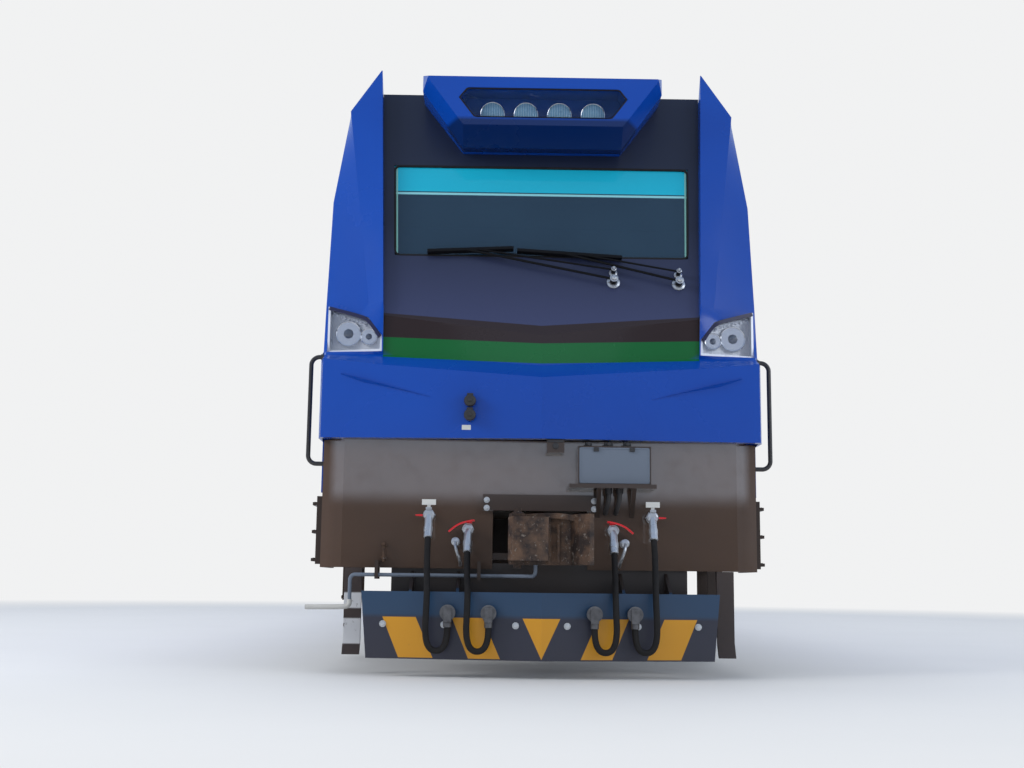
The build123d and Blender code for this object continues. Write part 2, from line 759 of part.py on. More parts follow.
def hose_routes():
    """Points of each brake hose: out of its cock, down in front of the plough, and up to its head."""
    routes = []
    for x, z in cock_rows:
        side = 1 if x < 0 else -1
        y = plough_face(abs(x) - hose_swing) - hose_stand_off
        down = Vector(0, -70, -150).normalized()
        start = Vector(x, apron_depth - seat_clearance - cock_reach, z - cock_drop) + down * seat_clearance
        knee = start + down * hose_lead
        far = x + side * hose_swing
        routes.append([(start.X, start.Y, start.Z), (knee.X, knee.Y, knee.Z), (x + side * 15, y, hose_shoulder_z),
                       (x, y - 6, hose_low_z), (far, y - 3, hose_low_z - 4), (far - side * 4, y + 4, hose_end_z)])
    return routes


def cord_radii(points):
    """Bend radius at each inner point of a route: as large as its two runs allow."""
    radii = []
    for before, here, after in zip(points, points[1:], points[2:]):
        first, second = Vector(*here) - Vector(*before), Vector(*after) - Vector(*here)
        turn = math.radians(first.get_angle(second))
        radii.append(0.45 * min(first.length, second.length) / math.tan(turn / 2))
    return radii


def hose(points):
    """Brake hose along its route."""
    path = FilletPolyline(*[Vector(*p) for p in points], radius=cord_radii(points))
    start = Plane(origin=path @ 0, z_dir=path % 0)
    return sweep(start * Circle(hose_radius), path=path)


def hose_head(points):
    """Coupling head on a hose's free end: nipple, round chamber and locking lug."""
    x, y, z = points[-1]
    end = Vector(x, y, z)
    up = (end - Vector(*points[-2])).normalized()
    nipple = rod(end + up * seat_clearance, end + up * (head_rise - 20), hose_radius + 6)
    chamber = rod((x, y - head_thickness / 2, z + head_rise), (x, y + head_thickness / 2, z + head_rise), head_radius)
    lug = block(x - 26, x + 26, y - head_thickness / 2 - 14, y - head_thickness / 2 + 5, z + head_rise - 60,
                z + head_rise + 34)
    return fuse(nipple, chamber, lug)


def cock(x, z):
    """Angle cock: pipe out of the apron, body, elbow and hose tail."""
    y = apron_depth - seat_clearance
    pipe = rod((x, y, z), (x, y - 100, z), 24)
    body = rod((x, y - 70, z), (x, y - 150, z), 38)
    elbow = rod((x, y - 120, z + 20), (x, y - cock_reach, z - cock_drop), 27)
    return fuse(pipe, body, elbow)


save("nose_panels", both_ends([nose()]))
save("window_masks", both_ends([mask()]))
save("corner_blades", both_ends(both_sides([fuse(blade(), lamp_surround())])))
save("lamps", both_ends(both_sides([headlamp()]) + brow_lamps()))
save("cab_sides", both_ends(both_sides([cab_side(), door_sill_panel()])))
save("cab_glass", both_ends([windscreen(), pod_pane_plate()] + both_sides([side_window()])))
save("cab_roofs", both_ends([cab_roof()]))
save("brow_housings", both_ends([pod()]))
right_door = Pos(0, front, 0) * door()
left_door = mirror(right_door, about=Plane.YZ)
save("door_a_right", [right_door])
save("door_a_left", [left_door])
save("door_b_right", [Rot(0, 0, 180) * right_door])
save("door_b_left", [Rot(0, 0, 180) * left_door])
save("bulkheads", both_ends([bulkhead()]))
save("desks", both_ends([desk()]))
save("seats", both_ends([seat(-560), seat(560)]))
save("machine_walls", both_sides([machine_wall()]))
save("louvre_banks", both_sides([louvre_bank(y) for y in louvre_places]))
save("machine_roofs", machine_roof())
save("deck", [deck()])
save("sole_bars", both_sides([sole_bar()]))
save("draft_boxes", both_ends([draft_box()]))
save("bolsters", [Pos(0, y, 0) * bolsters() for y in (-bogie_centre, bogie_centre)])
save("aprons", both_ends([apron()]))
save("couplers", both_ends([coupler()]))
save("ploughs", both_ends([plough()]))


# Wheelsets and bogies, round their own centre at Y = 0

def wheelset():
    """Axle and two wheels, as one body of revolution about the axle."""
    inner = back_to_back / 2
    outer = inner + rim_width
    rim_inside = wheel_radius - rim_depth
    web_x = inner + rim_width * 0.52
    hub_x = web_x - hub_length / 2
    half = [(0, axle_radius), (hub_x, axle_radius), (hub_x, hub_radius), (web_x - web_thickness / 2, hub_radius + 15),
            (web_x - web_thickness / 2, rim_inside - 8), (inner, rim_inside),
            (inner, wheel_radius + flange_height - 12), (inner + 9, wheel_radius + flange_height),
            (inner + 20, wheel_radius + flange_height), (inner + flange_width, wheel_radius + 5),
            (inner + flange_width + 12, wheel_radius + 1), (outer - 6, wheel_radius - 4), (outer, wheel_radius - 10),
            (outer, rim_inside), (web_x + web_thickness / 2, rim_inside - 8),
            (web_x + web_thickness / 2, hub_radius + 15), (hub_x + hub_length, hub_radius),
            (hub_x + hub_length, axle_radius - 5), (side_beam_x - box_depth / 2 - 30, axle_radius - 5),
            (side_beam_x - box_depth / 2 - 30, journal_radius), (axle_half_length, journal_radius),
            (axle_half_length, 0)]
    full = half + [(-x, r) for x, r in reversed(half) if x > 0]
    return turned(full, (0, 0, axle_z), "X")


box_depth = 210.0
axle_places = (-axle_spacing, 0.0, axle_spacing)


def side_beam(side):
    """Welded side beam, arched over its axle boxes and deep between them."""
    z, d = side_beam_bottom_z, side_beam_drop_z
    near, far = box_half + 415, axle_spacing - box_half - 415
    seat_end = axle_spacing + primary_spring_offset + primary_spring_radius
    right = [(near - 90, z), (near, d), (far, d), (far + 90, z), (seat_end, z), (side_beam_end, z + 30),
             (side_beam_end, side_beam_top_z - 60), (side_beam_end - 130, side_beam_top_z)]
    outline = right + [(-y, h) for y, h in reversed(right)]
    x = side * side_beam_x
    return along_x(outline, x - side_beam_width / 2, x + side_beam_width / 2)


def bogie_frame():
    """Two side beams, two transoms between the axles, end bars and the pivot housing."""
    inner = side_beam_x - side_beam_width / 2 + 1
    half = axle_spacing / 2
    cross = [block(-inner, inner, y - 130, y + 130, side_beam_drop_z + 60, side_beam_top_z - 20)
             for y in (-half, half)]
    ends = [block(-inner, inner, s * (side_beam_end - 110), s * (side_beam_end - 10), side_beam_bottom_z + 50,
                  side_beam_top_z - 70) for s in (-1, 1)]
    spine = block(-230, 230, -half, half, pivot_bottom_z, side_beam_top_z - 20)
    frame = fuse(side_beam(-1), side_beam(1), *cross, *ends, spine)
    return frame - rod((0, 0, 600), (0, 0, 1400), pivot_radius + pivot_play)


def axle_box(y, side):
    """Axle box with its spring wings, bored for the journal from inside."""
    x = side * side_beam_x
    x0, x1 = x - box_depth / 2, x + box_depth / 2
    w = box_half
    outline = [(y - w, axle_z - 120), (y - w + 60, axle_z - w), (y + w - 60, axle_z - w), (y + w, axle_z - 120),
               (y + w, axle_z + 120), (y + w - 60, axle_z + w), (y - w + 60, axle_z + w), (y - w, axle_z + 120)]
    body = along_x(outline, x0, x1)
    reach = primary_spring_offset + primary_spring_radius
    wings = block(x0 + 10, x1 - 10, y - reach, y + reach, axle_z - 110, axle_z - 50)
    bore = rod((0, y, axle_z), (side * (axle_half_length + 6), y, axle_z), journal_radius + journal_clearance)
    return fuse(body, wings) - bore


def primary_springs(y, side):
    """Two springs from an axle box's wings to the side beam."""
    x = side * side_beam_x
    return [rod((x, y + s * primary_spring_offset, axle_z - 50), (x, y + s * primary_spring_offset,
                side_beam_bottom_z - seat_clearance), primary_spring_radius - 10) for s in (-1, 1)]


def secondary_springs():
    """Tall springs on the side beams that carry the body."""
    springs = []
    for side in (-1, 1):
        for y in (-secondary_spring_offset, secondary_spring_offset):
            for step in (-185, 185):
                foot = (side * side_beam_x, y + step, side_beam_top_z)
                springs.append(rod(foot, (foot[0], foot[1], side_beam_top_z + secondary_spring_height),
                                   secondary_spring_radius - 40))
    return springs


def motor(y, toward):
    """Axle-hung motor with its suspension tube and gear case, beside its axle."""
    centre = y + toward * 465
    r = 250
    outline = [(centre + r * math.cos(a), axle_z - 15 + r * math.sin(a))
               for a in (math.radians(22.5 + 45 * i) for i in range(8))]
    body = along_x(outline, -430, 430)
    arm = block(-420, 420, y + toward * 60, centre, axle_z - 110, axle_z + 110)
    tube = rod((-420, y, axle_z), (420, y, axle_z), 150)
    gear = rod((450, y, axle_z), (560, y, axle_z), 300)
    gear_arm = block(425, 560, y, centre + toward * 60, axle_z - 180, axle_z + 180)
    nose_z = axle_z + 110
    link = block(-90, 90, centre + toward * 200, y + toward * (axle_spacing / 2 - 130 - seat_clearance), nose_z,
                 nose_z + 90)
    shape = fuse(body, arm, tube, gear, gear_arm, link)
    return shape - rod((-700, y, axle_z), (700, y, axle_z), axle_radius + move_clearance)


motor_sides = (1, 1, -1)

for name, centre in (("a", -bogie_centre), ("b", bogie_centre)):
    place = Pos(0, centre, 0)
    turn = Rot(0, 0, 0 if name == "a" else 180)
    save(f"bogie_frame_{name}", [place * turn * bogie_frame()])
    boxes = [axle_box(y, side) for y in axle_places for side in (-1, 1)]
    save(f"axle_boxes_{name}", [place * turn * s for s in solids_of(boxes)])
    springs = [s for y in axle_places for side in (-1, 1) for s in primary_springs(y, side)] + secondary_springs()
    save(f"bogie_springs_{name}", [place * turn * s for s in solids_of(springs)])
    motors = [motor(y, t) for y, t in zip(axle_places, motor_sides)]
    save(f"motors_{name}", [place * turn * s for s in solids_of(motors)])

axle_centres = [c + y for c in (-bogie_centre, bogie_centre) for y in axle_places]
for number, y in enumerate(axle_centres, 1):
    save(f"wheelset_{number}", [Pos(0, y, 0) * wheelset()])


# Pantographs, in depths from their own centre, lying folded towards the cab

panto_centre = 6300.0
panto_frame_x = 550.0
panto_frame_y = 700.0
panto_frame_z = 4380.0
panto_bar = 50.0
panto_pivot = (600.0, 4530.0)
lower_length = 1550.0
lower_angle = math.radians(1.1)
upper_length = 1700.0
upper_angle = math.radians(4.4)
crank_length = 91.0
crank_angle = math.radians(191.5)
rod_foot = (-214.0, -61.0)
knee_shaft = 18.0
foot_shaft = 20.0
head_shaft = 12.0
rod_shaft = 12.0
knee_half = 110.0
rod_x = 175.0
strip_half = 800.0
strip_spread = 200.0
strip_rise = 92.0
horn_half = 1000.0

knee = (panto_pivot[0] - lower_length * math.cos(lower_angle), panto_pivot[1] + lower_length * math.sin(lower_angle))
head_pivot = (knee[0] + upper_length * math.cos(upper_angle), knee[1] + upper_length * math.sin(upper_angle))
heel = (knee[0] + crank_length * math.cos(upper_angle + crank_angle),
        knee[1] + crank_length * math.sin(upper_angle + crank_angle))
rod_pivot = (panto_pivot[0] + rod_foot[0], panto_pivot[1] + rod_foot[1])


def insulator(x, y, z0, z1, core=45.0, shed=75.0, sheds=4):
    """Post insulator with its sheds."""
    pitch = (z1 - z0) / sheds
    outline = [(z0, 0), (z0, core)]
    for i in range(sheds):
        z = z0 + pitch * i
        outline += [(z + pitch * 0.35, core), (z + pitch * 0.45, shed), (z + pitch * 0.6, core)]
    outline += [(z1, core), (z1, 0)]
    return turned([(a, r) for a, r in outline], (x, y, 0), "Z")


def panto_base():
    """Frame on four insulators, with the brackets of the arm and the thrust rod."""
    fx, fy, z, t = panto_frame_x, panto_frame_y, panto_frame_z, panto_bar
    frame = [block(s * fx - t / 2, s * fx + t / 2, -fy, fy, z, z + t) for s in (-1, 1)]
    frame += [block(-fx, fx, y - t, y + t, z, z + t) for y in (-fy + t, rod_pivot[0], panto_pivot[0])]
    brackets = []
    for side in (-1, 1):
        brackets.append(block(side * 75, side * 135, panto_pivot[0] - 60, panto_pivot[0] + 60, z + t,
                              panto_pivot[1] + 45))
    brackets.append(block(rod_x + 22, rod_x + 52, rod_pivot[0] - 30, rod_pivot[0] + 30, z + t, rod_pivot[1] + 30))
    base = fuse(*frame, *brackets)
    base -= rod((-140, *panto_pivot), (140, *panto_pivot), foot_shaft + shaft_play)
    base -= rod((rod_x, *rod_pivot), (rod_x + 60, *rod_pivot), rod_shaft + shaft_play)
    posts = [insulator(sx * (fx - 30) + 0, sy * (fy - t), machine_roof_z, z) for sx in (-1, 1) for sy in (-1, 1)]
    return [fuse(base, *posts)]


def lower_arm():
    """Lower arm with its foot shaft and the knee tube."""
    beam = rod((0, *panto_pivot), (0, *knee), 52, 40)
    shaft = rod((-132, *panto_pivot), (132, *panto_pivot), foot_shaft)
    foot = rod((-70, *panto_pivot), (70, *panto_pivot), 55)
    tube = rod((-knee_half, *knee), (knee_half, *knee), 40)
    return fuse(beam, shaft, foot, tube) - rod((-200, *knee), (200, *knee), knee_shaft + shaft_play)


def upper_arm():
    """Upper arm: two spreading tubes, the knee shaft, the crank and the head tube."""
    shaft = rod((-150, *knee), (150, *knee), knee_shaft)
    tubes = []
    for side in (-1, 1):
        tubes.append(rod((side * 133, *knee), (side * 240, *head_pivot), 24, 20))
        tubes.append(rod((side * (knee_half + 6), *knee), (side * 150, *knee), 34))
    crank = rod((133, *knee), (133, *heel), 17)
    top = rod((-255, *head_pivot), (255, *head_pivot), 26)
    return fuse(shaft, *tubes, crank, top) - rod((-300, *head_pivot), (300, *head_pivot), head_shaft + shaft_play)


def thrust_rod():
    """Thin rod beside the lower arm, from the frame to just beside the crank."""
    bar = rod((rod_x, *rod_pivot), (rod_x, *heel), 14)
    pin = rod((rod_x - 14, *rod_pivot), (rod_x + 50, *rod_pivot), rod_shaft)
    eye = rod((rod_x - 20, *heel), (rod_x + 14, *heel), 24)
    foot = rod((rod_x - 14, *rod_pivot), (rod_x + 16, *rod_pivot), 24)
    return fuse(bar, pin, eye, foot)


def panto_head():
    """Collector head: shaft, four leaf arms, two carbon strips and the end horns."""
    y, z = head_pivot
    parts = [rod((-310, y, z), (310, y, z), head_shaft)]
    for side in (-1, 1):
        parts.append(rod((side * 270, y, z), (side * 310, y, z), 26))
        for turn in (-1, 1):
            parts.append(rod((side * 290, y, z), (side * 290, y + turn * strip_spread, z + strip_rise - 16), 13))
    for turn in (-1, 1):
        ys = y + turn * strip_spread
        parts.append(block(-strip_half, strip_half, ys - 20, ys + 20, z + strip_rise - 32, z + strip_rise))
        for side in (-1, 1):
            parts.append(bent_tube([(side * (strip_half - 30), ys, z + strip_rise - 16),
                                    (side * (strip_half + 90), ys, z + strip_rise - 16),
                                    (side * horn_half, ys, z - 130)], 90, 13))
    return fuse(*parts)


def folded(shape, end):
    """A pantograph piece set over the A or the B end."""
    placed = Pos(0, -panto_centre, 0) * shape
    return placed if end == "a" else Rot(0, 0, 180) * placed


save("pantograph_bases", [folded(s, e) for e in "ab" for s in panto_base()])
for end in "ab":
    save(f"pantograph_lower_arm_{end}", [folded(lower_arm(), end)])
    save(f"pantograph_upper_arm_{end}", [folded(upper_arm(), end)])
    save(f"pantograph_rod_{end}", [folded(thrust_rod(), end)])
    save(f"pantograph_head_{end}", [folded(panto_head(), end)])


# Roof gear between the pantographs

def roof_gear():
    """High-voltage bus on its post insulators, and the main breaker."""
    bus_z = 4420.0
    posts = [insulator(0, y, machine_roof_z, bus_z - 8) for y in (-3600, -1500, 1500, 3600)]
    bar = rod((0, -3900, bus_z), (0, 3900, bus_z), 22)
    return [fuse(bar, *posts)]


def roof_units():
    """Air-conditioning units beside the bus and horns behind the brow."""
    units = [block(-1050, -250, y - 800, y + 800, machine_roof_z, machine_roof_z + 230) for y in (-2550, 2550)]
    horns = []
    for x in (-130, 130):
        horns.append(turned([(0, 0), (0, 75), (60, 45), (420, 22), (420, 0)], (x, roof_front + 560, roof_z + 78), "Y"))
    posts = [block(x - 18, x + 18, roof_front + 860, roof_front + 900, roof_z, roof_z + 60) for x in (-130, 130)]
    return units + both_ends([fuse(h, p) for h, p in zip(horns, posts)])


# Below the floor between the bogies

def underfloor():
    """Battery boxes under the sills and air reservoirs between them."""
    y0, y1 = 1780.0, 2290.0
    boxes = [block(720, 1490, y0, y1, 640, skirt_z)]
    tank = turned([(-560, 0), (-560, 120), (-500, 190), (500, 190), (560, 120), (560, 0)],
                  (0, (y0 + y1) / 2, 980), "X")
    straps = [block(x - 25, x + 25, (y0 + y1) / 2 - 60, (y0 + y1) / 2 + 60, 1100, deck_bottom_z) for x in (-330, 330)]
    group = both_sides(boxes) + [fuse(tank, *straps)]
    return group + [Rot(0, 0, 180) * s for s in solids_of(group)]


# Fittings of the front end

def jumper_box():
    """Socket box on the apron, with its lip, struts and a small lamp box beside it."""
    y = apron_depth - seat_clearance
    box = block(254, 760, y - 150, y, 1300, 1567)
    box = box - block(262, 752, y - 160, y - 142, 1308, 1559)
    lip = block(190, 790, y - 215, y, 1272, 1300)
    struts = [along_x([(y - 190, 1272), (y - 160, 1272), (y, 1110), (y, 1080)], x - 15, x + 15) for x in (400, 640)]
    small = block(38, 160, y - 130, y, 1520, 1611)
    return [fuse(box, lip, *struts), small]


def socket():
    """Pair of round sockets, one over the other, on the nose."""
    y = -ledge_reach + 500 * 70 / mask_half_bottom
    return [turned([(-3 - seat_clearance, 0), (-3 - seat_clearance, 42), (-42, 42), (-58, 34), (-58, 0)],
                   (-500, y, z), "Y") for z in (1772, 1872)]


def hand_rail():
    """Upright grab rail at the cab corner."""
    x, y, top, low = 1662.0, 240.0, 2226.0, 1450.0
    return bent_tube([(body_half_width, y, top), (x, y, top), (x, y, low), (shell_half_width, y, low)], 60, 16)


def door_rail(y):
    """Upright grab rail beside a cab door."""
    x, top, low = 1655.0, 2700.0, 1420.0
    return bent_tube([(body_half_width, y, top), (x, y, top), (x, y, low), (body_half_width, y, low)], 50, 15)


def corner_steps():
    """Three treads on the apron's return."""
    treads = [block(shell_half_width, 1632, 350, 650, z, z + 22) for z in (760, 960, 1160)]
    stiles = [block(shell_half_width, 1600, y, y + 12, 740, 1225) for y in (338, 650)]
    return fuse(*treads, *stiles)


def door_steps():
    """Treads under the cab door, hung from the sill."""
    y0, y1 = door_front + 80, door_front + door_width - 80
    treads = [block(1420, 1560, y0, y1, z, z + 24) for z in (480, 740, 1000)]
    stiles = [block(1430, 1550, y, y + 14, 470, skirt_z) for y in (y0 - 14, y1)]
    return fuse(*treads, *stiles)


cut_rod_y = -60.0
cut_rod_z = 668.0
cut_rod_radius = 13.0


def uncoupling_rod():
    """Cut lever across the front, from its handle to the coupler's lock."""
    low = coupler_z - 165
    return bent_tube([(-1300, cut_rod_y, 470), (-1300, cut_rod_y, cut_rod_z), (-300, cut_rod_y, cut_rod_z),
                      (-40, -300, cut_rod_z), (-40, -300, low - seat_clearance)], 35, cut_rod_radius)


def cut_rod_brackets():
    """Two brackets on the apron that the cut lever turns in."""
    y = apron_depth - seat_clearance
    brackets = []
    for x in (-1120, -420):
        plate = block(x - 12, x + 12, cut_rod_y - 28, y, cut_rod_z - 28, apron_bottom_z + 50)
        brackets.append(plate - rod((x - 20, cut_rod_y, cut_rod_z), (x + 20, cut_rod_y, cut_rod_z),
                                    cut_rod_radius + seat_clearance))
    return brackets


# Each wiper's lower hub, then the two ends of its parked blade, as (x, z) on the mask
wiper_rows = (((521, 2787), (-836, 2998), (-207, 3031)), ((995, 2779), (-180, 3014), (585, 2968)))
wiper_lift = 55.0
wiper_arm_gap = 75.0


def wiper(hub, left, right):
    """Wiper with its twin arm and blade, parked along the foot of the windscreen."""
    normal = Vector(0, -1, mask_lean).normalized()

    def on_mask(x, z, off):
        return (x + normal.X * off, mask_y(z) + normal.Y * off, z + normal.Z * off)

    (x, z), lift = hub, wiper_lift
    middle = ((left[0] + right[0]) / 2, (left[1] + right[1]) / 2)
    hubs = [rod(on_mask(x, z, seat_clearance), on_mask(x, z, lift + 12), 26),
            rod(on_mask(x, z + wiper_arm_gap, seat_clearance), on_mask(x, z + wiper_arm_gap, lift + 12), 16)]
    arms = [rod(on_mask(x, z, lift), on_mask(middle[0] - 45, middle[1], lift - 4), 9),
            rod(on_mask(x, z + wiper_arm_gap, lift), on_mask(middle[0] + 45, middle[1], lift - 4), 7)]
    ends = [[on_mask(px, pz - 5, 1), on_mask(px, pz + 5, 1), on_mask(px, pz + 11, lift), on_mask(px, pz - 11, lift)]
            for px, pz in (left, right)]
    return fuse(ruled(ends), *arms, *hubs)


save("roof_gear", roof_gear())
save("roof_units", roof_units())
save("transformer", [block(-1190, 1190, -1720, 1720, 380, deck_bottom_z)])
save("underfloor_boxes", underfloor())
save("front_fittings", both_ends([striker()] + jumper_box() + socket() + cut_rod_brackets()))
save("grab_rails", both_ends(both_sides([hand_rail(), door_rail(door_front - 60), door_rail(cab_length + 60)])))
save("steps", both_ends(both_sides([corner_steps(), door_steps()])))
save("brake_cocks", both_ends([cock(x, z) for x, z in cock_rows] + [hose_head(r) for r in hose_routes()]))
save("brake_hoses", both_ends([hose(route) for route in hose_routes()]))
save("uncoupling_rods", both_ends([uncoupling_rod()]))
print("hose radii", [[round(r) for r in cord_radii(route)] for route in hose_routes()])
save("wipers", both_ends([wiper(*row) for row in wiper_rows]))
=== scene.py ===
# %% [markdown]
# # An electric locomotive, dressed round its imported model
#
# The solids come in already built, at full size and in metres: X across the track, Y along it with
# the A end at -Y, Z up from the tips of the wheel flanges. Nothing here moves them. This file gives
# them paint, glass, rubber and rust, adds the small things that a solid model leaves out, and sets
# up the floor, the light and the camera.

import json
import math

import bmesh
import bpy
import numpy as np
from mathutils import Matrix, Vector


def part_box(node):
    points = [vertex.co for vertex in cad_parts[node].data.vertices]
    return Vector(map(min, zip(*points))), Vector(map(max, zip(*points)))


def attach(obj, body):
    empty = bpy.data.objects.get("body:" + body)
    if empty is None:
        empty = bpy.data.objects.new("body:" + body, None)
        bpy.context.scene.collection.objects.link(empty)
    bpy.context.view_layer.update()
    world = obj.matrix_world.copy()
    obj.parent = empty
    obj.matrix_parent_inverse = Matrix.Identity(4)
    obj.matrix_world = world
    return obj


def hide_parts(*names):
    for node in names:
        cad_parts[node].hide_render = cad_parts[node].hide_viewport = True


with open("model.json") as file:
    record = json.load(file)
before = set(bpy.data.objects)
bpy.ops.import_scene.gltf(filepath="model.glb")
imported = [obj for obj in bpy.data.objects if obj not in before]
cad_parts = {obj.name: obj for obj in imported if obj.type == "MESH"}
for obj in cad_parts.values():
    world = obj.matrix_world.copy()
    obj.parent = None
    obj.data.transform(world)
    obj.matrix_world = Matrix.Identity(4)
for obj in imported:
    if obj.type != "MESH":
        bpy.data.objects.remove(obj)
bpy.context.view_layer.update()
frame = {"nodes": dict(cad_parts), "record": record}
nodes = frame["nodes"]

# %% [markdown]
# ## The camera
#
# The picture was taken from between the rails, nearly straight at the A end and low down, about
# nine metres away. The lens follows from the width of the nose in the picture: 3.09 metres there
# are 434 of its 1024 pixels. The camera looks up by nine degrees and leans by less than one, so its
# right and up directions are turned by that roll, and the matrix is built from the three directions.

# %% The camera
front_y = -10.4
camera_place = Vector((-0.308, front_y - 8.79, 0.627))
pitch, yaw, roll = (math.radians(a) for a in (8.94, 0.65, 0.69))
image_width, focal_pixels = 1024, 1260.5

forward = Vector((math.sin(yaw) * math.cos(pitch), math.cos(yaw) * math.cos(pitch), math.sin(pitch)))
level = Vector((math.cos(yaw), -math.sin(yaw), 0))
upright = level.cross(forward)
right = level * math.cos(roll) + upright * math.sin(roll)
up = upright * math.cos(roll) - level * math.sin(roll)

camera = bpy.data.objects.new("camera", bpy.data.cameras.new("camera"))
bpy.context.scene.collection.objects.link(camera)
camera.data.sensor_width = 36.0
camera.data.lens = camera.data.sensor_width * focal_pixels / image_width
camera.matrix_world = Matrix((right, up, -forward)).transposed().to_4x4()
camera.location = camera_place
camera.data.clip_end = 500
bpy.context.scene.camera = camera
print("lens", round(camera.data.lens, 1), "mm")

# %% [markdown]
# ## Two classes for shader maths
#
# A pattern in a material is a sum: a stripe is one where the height is past a line, and dirt is
# noise times closeness to the floor. Such sums are easiest to read as Python, so a Signal wraps one
# output socket and each operator on it adds a Math node. A Tree makes every other node by one
# method: its type, then its settings, then its sockets. A Finish is the tree of one material.

# %% Signal, Tree and Finish
def operator(operation, swapped=False):
    """A method that joins two values by a Math node; swapped puts the signal after the other."""
    def method(self, other):
        return self.maths(operation, *((other, self) if swapped else (self, other)))
    return method


class Signal:
    """One output socket of a tree. Arithmetic with numbers or other signals adds Math nodes."""

    def __init__(self, tree, socket):
        self.tree, self.socket = tree, socket

    def maths(self, operation, *values, clamp=False):
        settings = {"operation": operation, "use_clamp": clamp}
        return self.tree.node("ShaderNodeMath", settings, dict(enumerate(values)))

    __add__ = __radd__ = operator("ADD")
    __mul__ = __rmul__ = operator("MULTIPLY")
    __sub__, __rsub__ = operator("SUBTRACT"), operator("SUBTRACT", swapped=True)
    __truediv__, __pow__ = operator("DIVIDE"), operator("POWER")
    __and__, __or__ = operator("MINIMUM"), operator("MAXIMUM")

    def __abs__(self):
        return self.maths("ABSOLUTE", self)

    def past(self, edge, soft=0.004):
        """0 below the edge and 1 above it, with a soft step of the given width."""
        return self.maths("ADD", (self - edge) / soft, 0.5, clamp=True)

    def within(self, start, end, soft=0.004):
        """1 between two values and 0 outside them."""
        return self.past(start, soft) & (1 - self.past(end, soft))

    def wave(self, period, width):
        """1 on narrow lines that repeat once a period, and 0 between them."""
        return 1 - self.maths("PINGPONG", self, period / 2).past(width / 2, width / 3)


class Tree:
    """A node tree to which nodes are added one by one."""

    def __init__(self, tree):
        self.tree = tree

    def node(self, kind, settings=None, sockets=None, out=0):
        """Any node: settings first, then a value or a signal for each socket, by name or number."""
        made = self.tree.nodes.new(kind)
        for key, value in (settings or {}).items():
            setattr(made, key, value)
        for key, value in (sockets or {}).items():
            self.feed(made.inputs[key], value)
        return Signal(self, made.outputs[out])

    def feed(self, socket, value):
        if isinstance(value, Signal):
            self.tree.links.new(value.socket, socket)
        elif socket.type == "RGBA":
            socket.default_value = (*value, 1)
        else:
            socket.default_value = value

    def mix(self, share, first, second):
        """A colour between two colours."""
        return self.node("ShaderNodeMix", {"data_type": "RGBA"}, {0: share, 6: first, 7: second}, out=2)


class Finish(Tree):
    """A material being made, with the patterns that its surface is mixed from."""

    def __init__(self, name):
        self.name = name
        self.material = bpy.data.materials.new(name)
        self.material.use_nodes = True
        super().__init__(self.material.node_tree)
        self.shader = self.tree.nodes["Principled BSDF"]

    def place(self):
        return self.node("ShaderNodeTexCoord", out="Object")

    def xyz(self):
        """The three object coordinates in metres, each as a signal."""
        split = self.node("ShaderNodeSeparateXYZ", sockets={0: self.place()})
        return [Signal(self, output) for output in split.socket.node.outputs]

    def noise(self, scale, detail=4.0, rough=0.55, stretch=None):
        """Fractal noise from 0 to 1; stretch lengthens it along an axis."""
        vector = self.place()
        if stretch:
            shrink = tuple(1 / s for s in stretch)
            vector = self.node("ShaderNodeMapping", sockets={0: vector, "Scale": shrink})
        sockets = {"Vector": vector, "Scale": scale, "Detail": detail, "Roughness": rough}
        return self.node("ShaderNodeTexNoise", sockets=sockets)

    def bump(self, height, distance, strength=1.0):
        sockets = {"Height": height, "Distance": distance, "Strength": strength}
        return self.node("ShaderNodeBump", sockets=sockets)

    def surface(self, **sockets):
        """Feed the surface shader; underscores in a name stand for spaces. Keep the material."""
        for key, value in sockets.items():
            self.feed(self.shader.inputs[key.replace("_", " ")], value)
        finishes[self.name] = self.material


finishes = {}
print("helpers ready")

# %% [markdown]
# ## Paint that has seen weather
#
# Every painted part of a locomotive carries the same few marks: the gloss varies where it was
# washed, brake dust settles low down, and the sprayed coat has a faint ripple. One helper adds
# these to any base colour, so that the parts look as if they had worked together.

# %% A helper for painted metal
dust_colour = (0.1, 0.075, 0.055)


def painted(name, base, gloss=0.2, dust=0.0, dust_top=1.6, ripple=0.0006, **extra):
    """Paint whose colour and gloss drift, with brake dust that fades out towards dust_top."""
    f = Finish(name)
    z = f.xyz()[2]
    cloud = f.noise(1.3, 5)
    streak = f.noise(3.0, 6, 0.6, stretch=(1, 1, 6))
    nearness = z.maths("DIVIDE", dust_top - z, dust_top, clamp=True)
    dirt = (nearness * (0.35 + streak) * dust) & 0.85
    colour = f.mix(dirt, base(f) if callable(base) else base, dust_colour)
    rough = gloss + (cloud - 0.5) * 0.16 + dirt * 0.45
    fine = f.noise(160.0, 2)
    normal = f.bump(cloud * 0.4 + fine * 0.03, ripple, 0.5)
    f.surface(Base_Color=colour, Roughness=rough, Normal=normal, **extra)


# %% [markdown]
# ## The livery
#
# The nose is blue and a green band crosses it in a shallow V under the dark window mask. On the
# real paintwork those edges are masked off with tape, so here each edge is a line: a height that
# rises evenly with the distance from the centre. The band carries on along the body side, with a
# thin pale line under it.

# %% Body blue with the green band
green = (0.006, 0.125, 0.032)
# The next two colours are painted shade: dark navy for the roof pod's underside over the windscreen, and dark
# brown for the undercut below the mask's lower edge.
chin_shade_blue = (0.001, 0.018, 0.105)
undercut_shade = (0.026, 0.017, 0.019)
mask_half = 1.13
band_foot, band_top, band_rise = 2.163, 2.308, 0.037


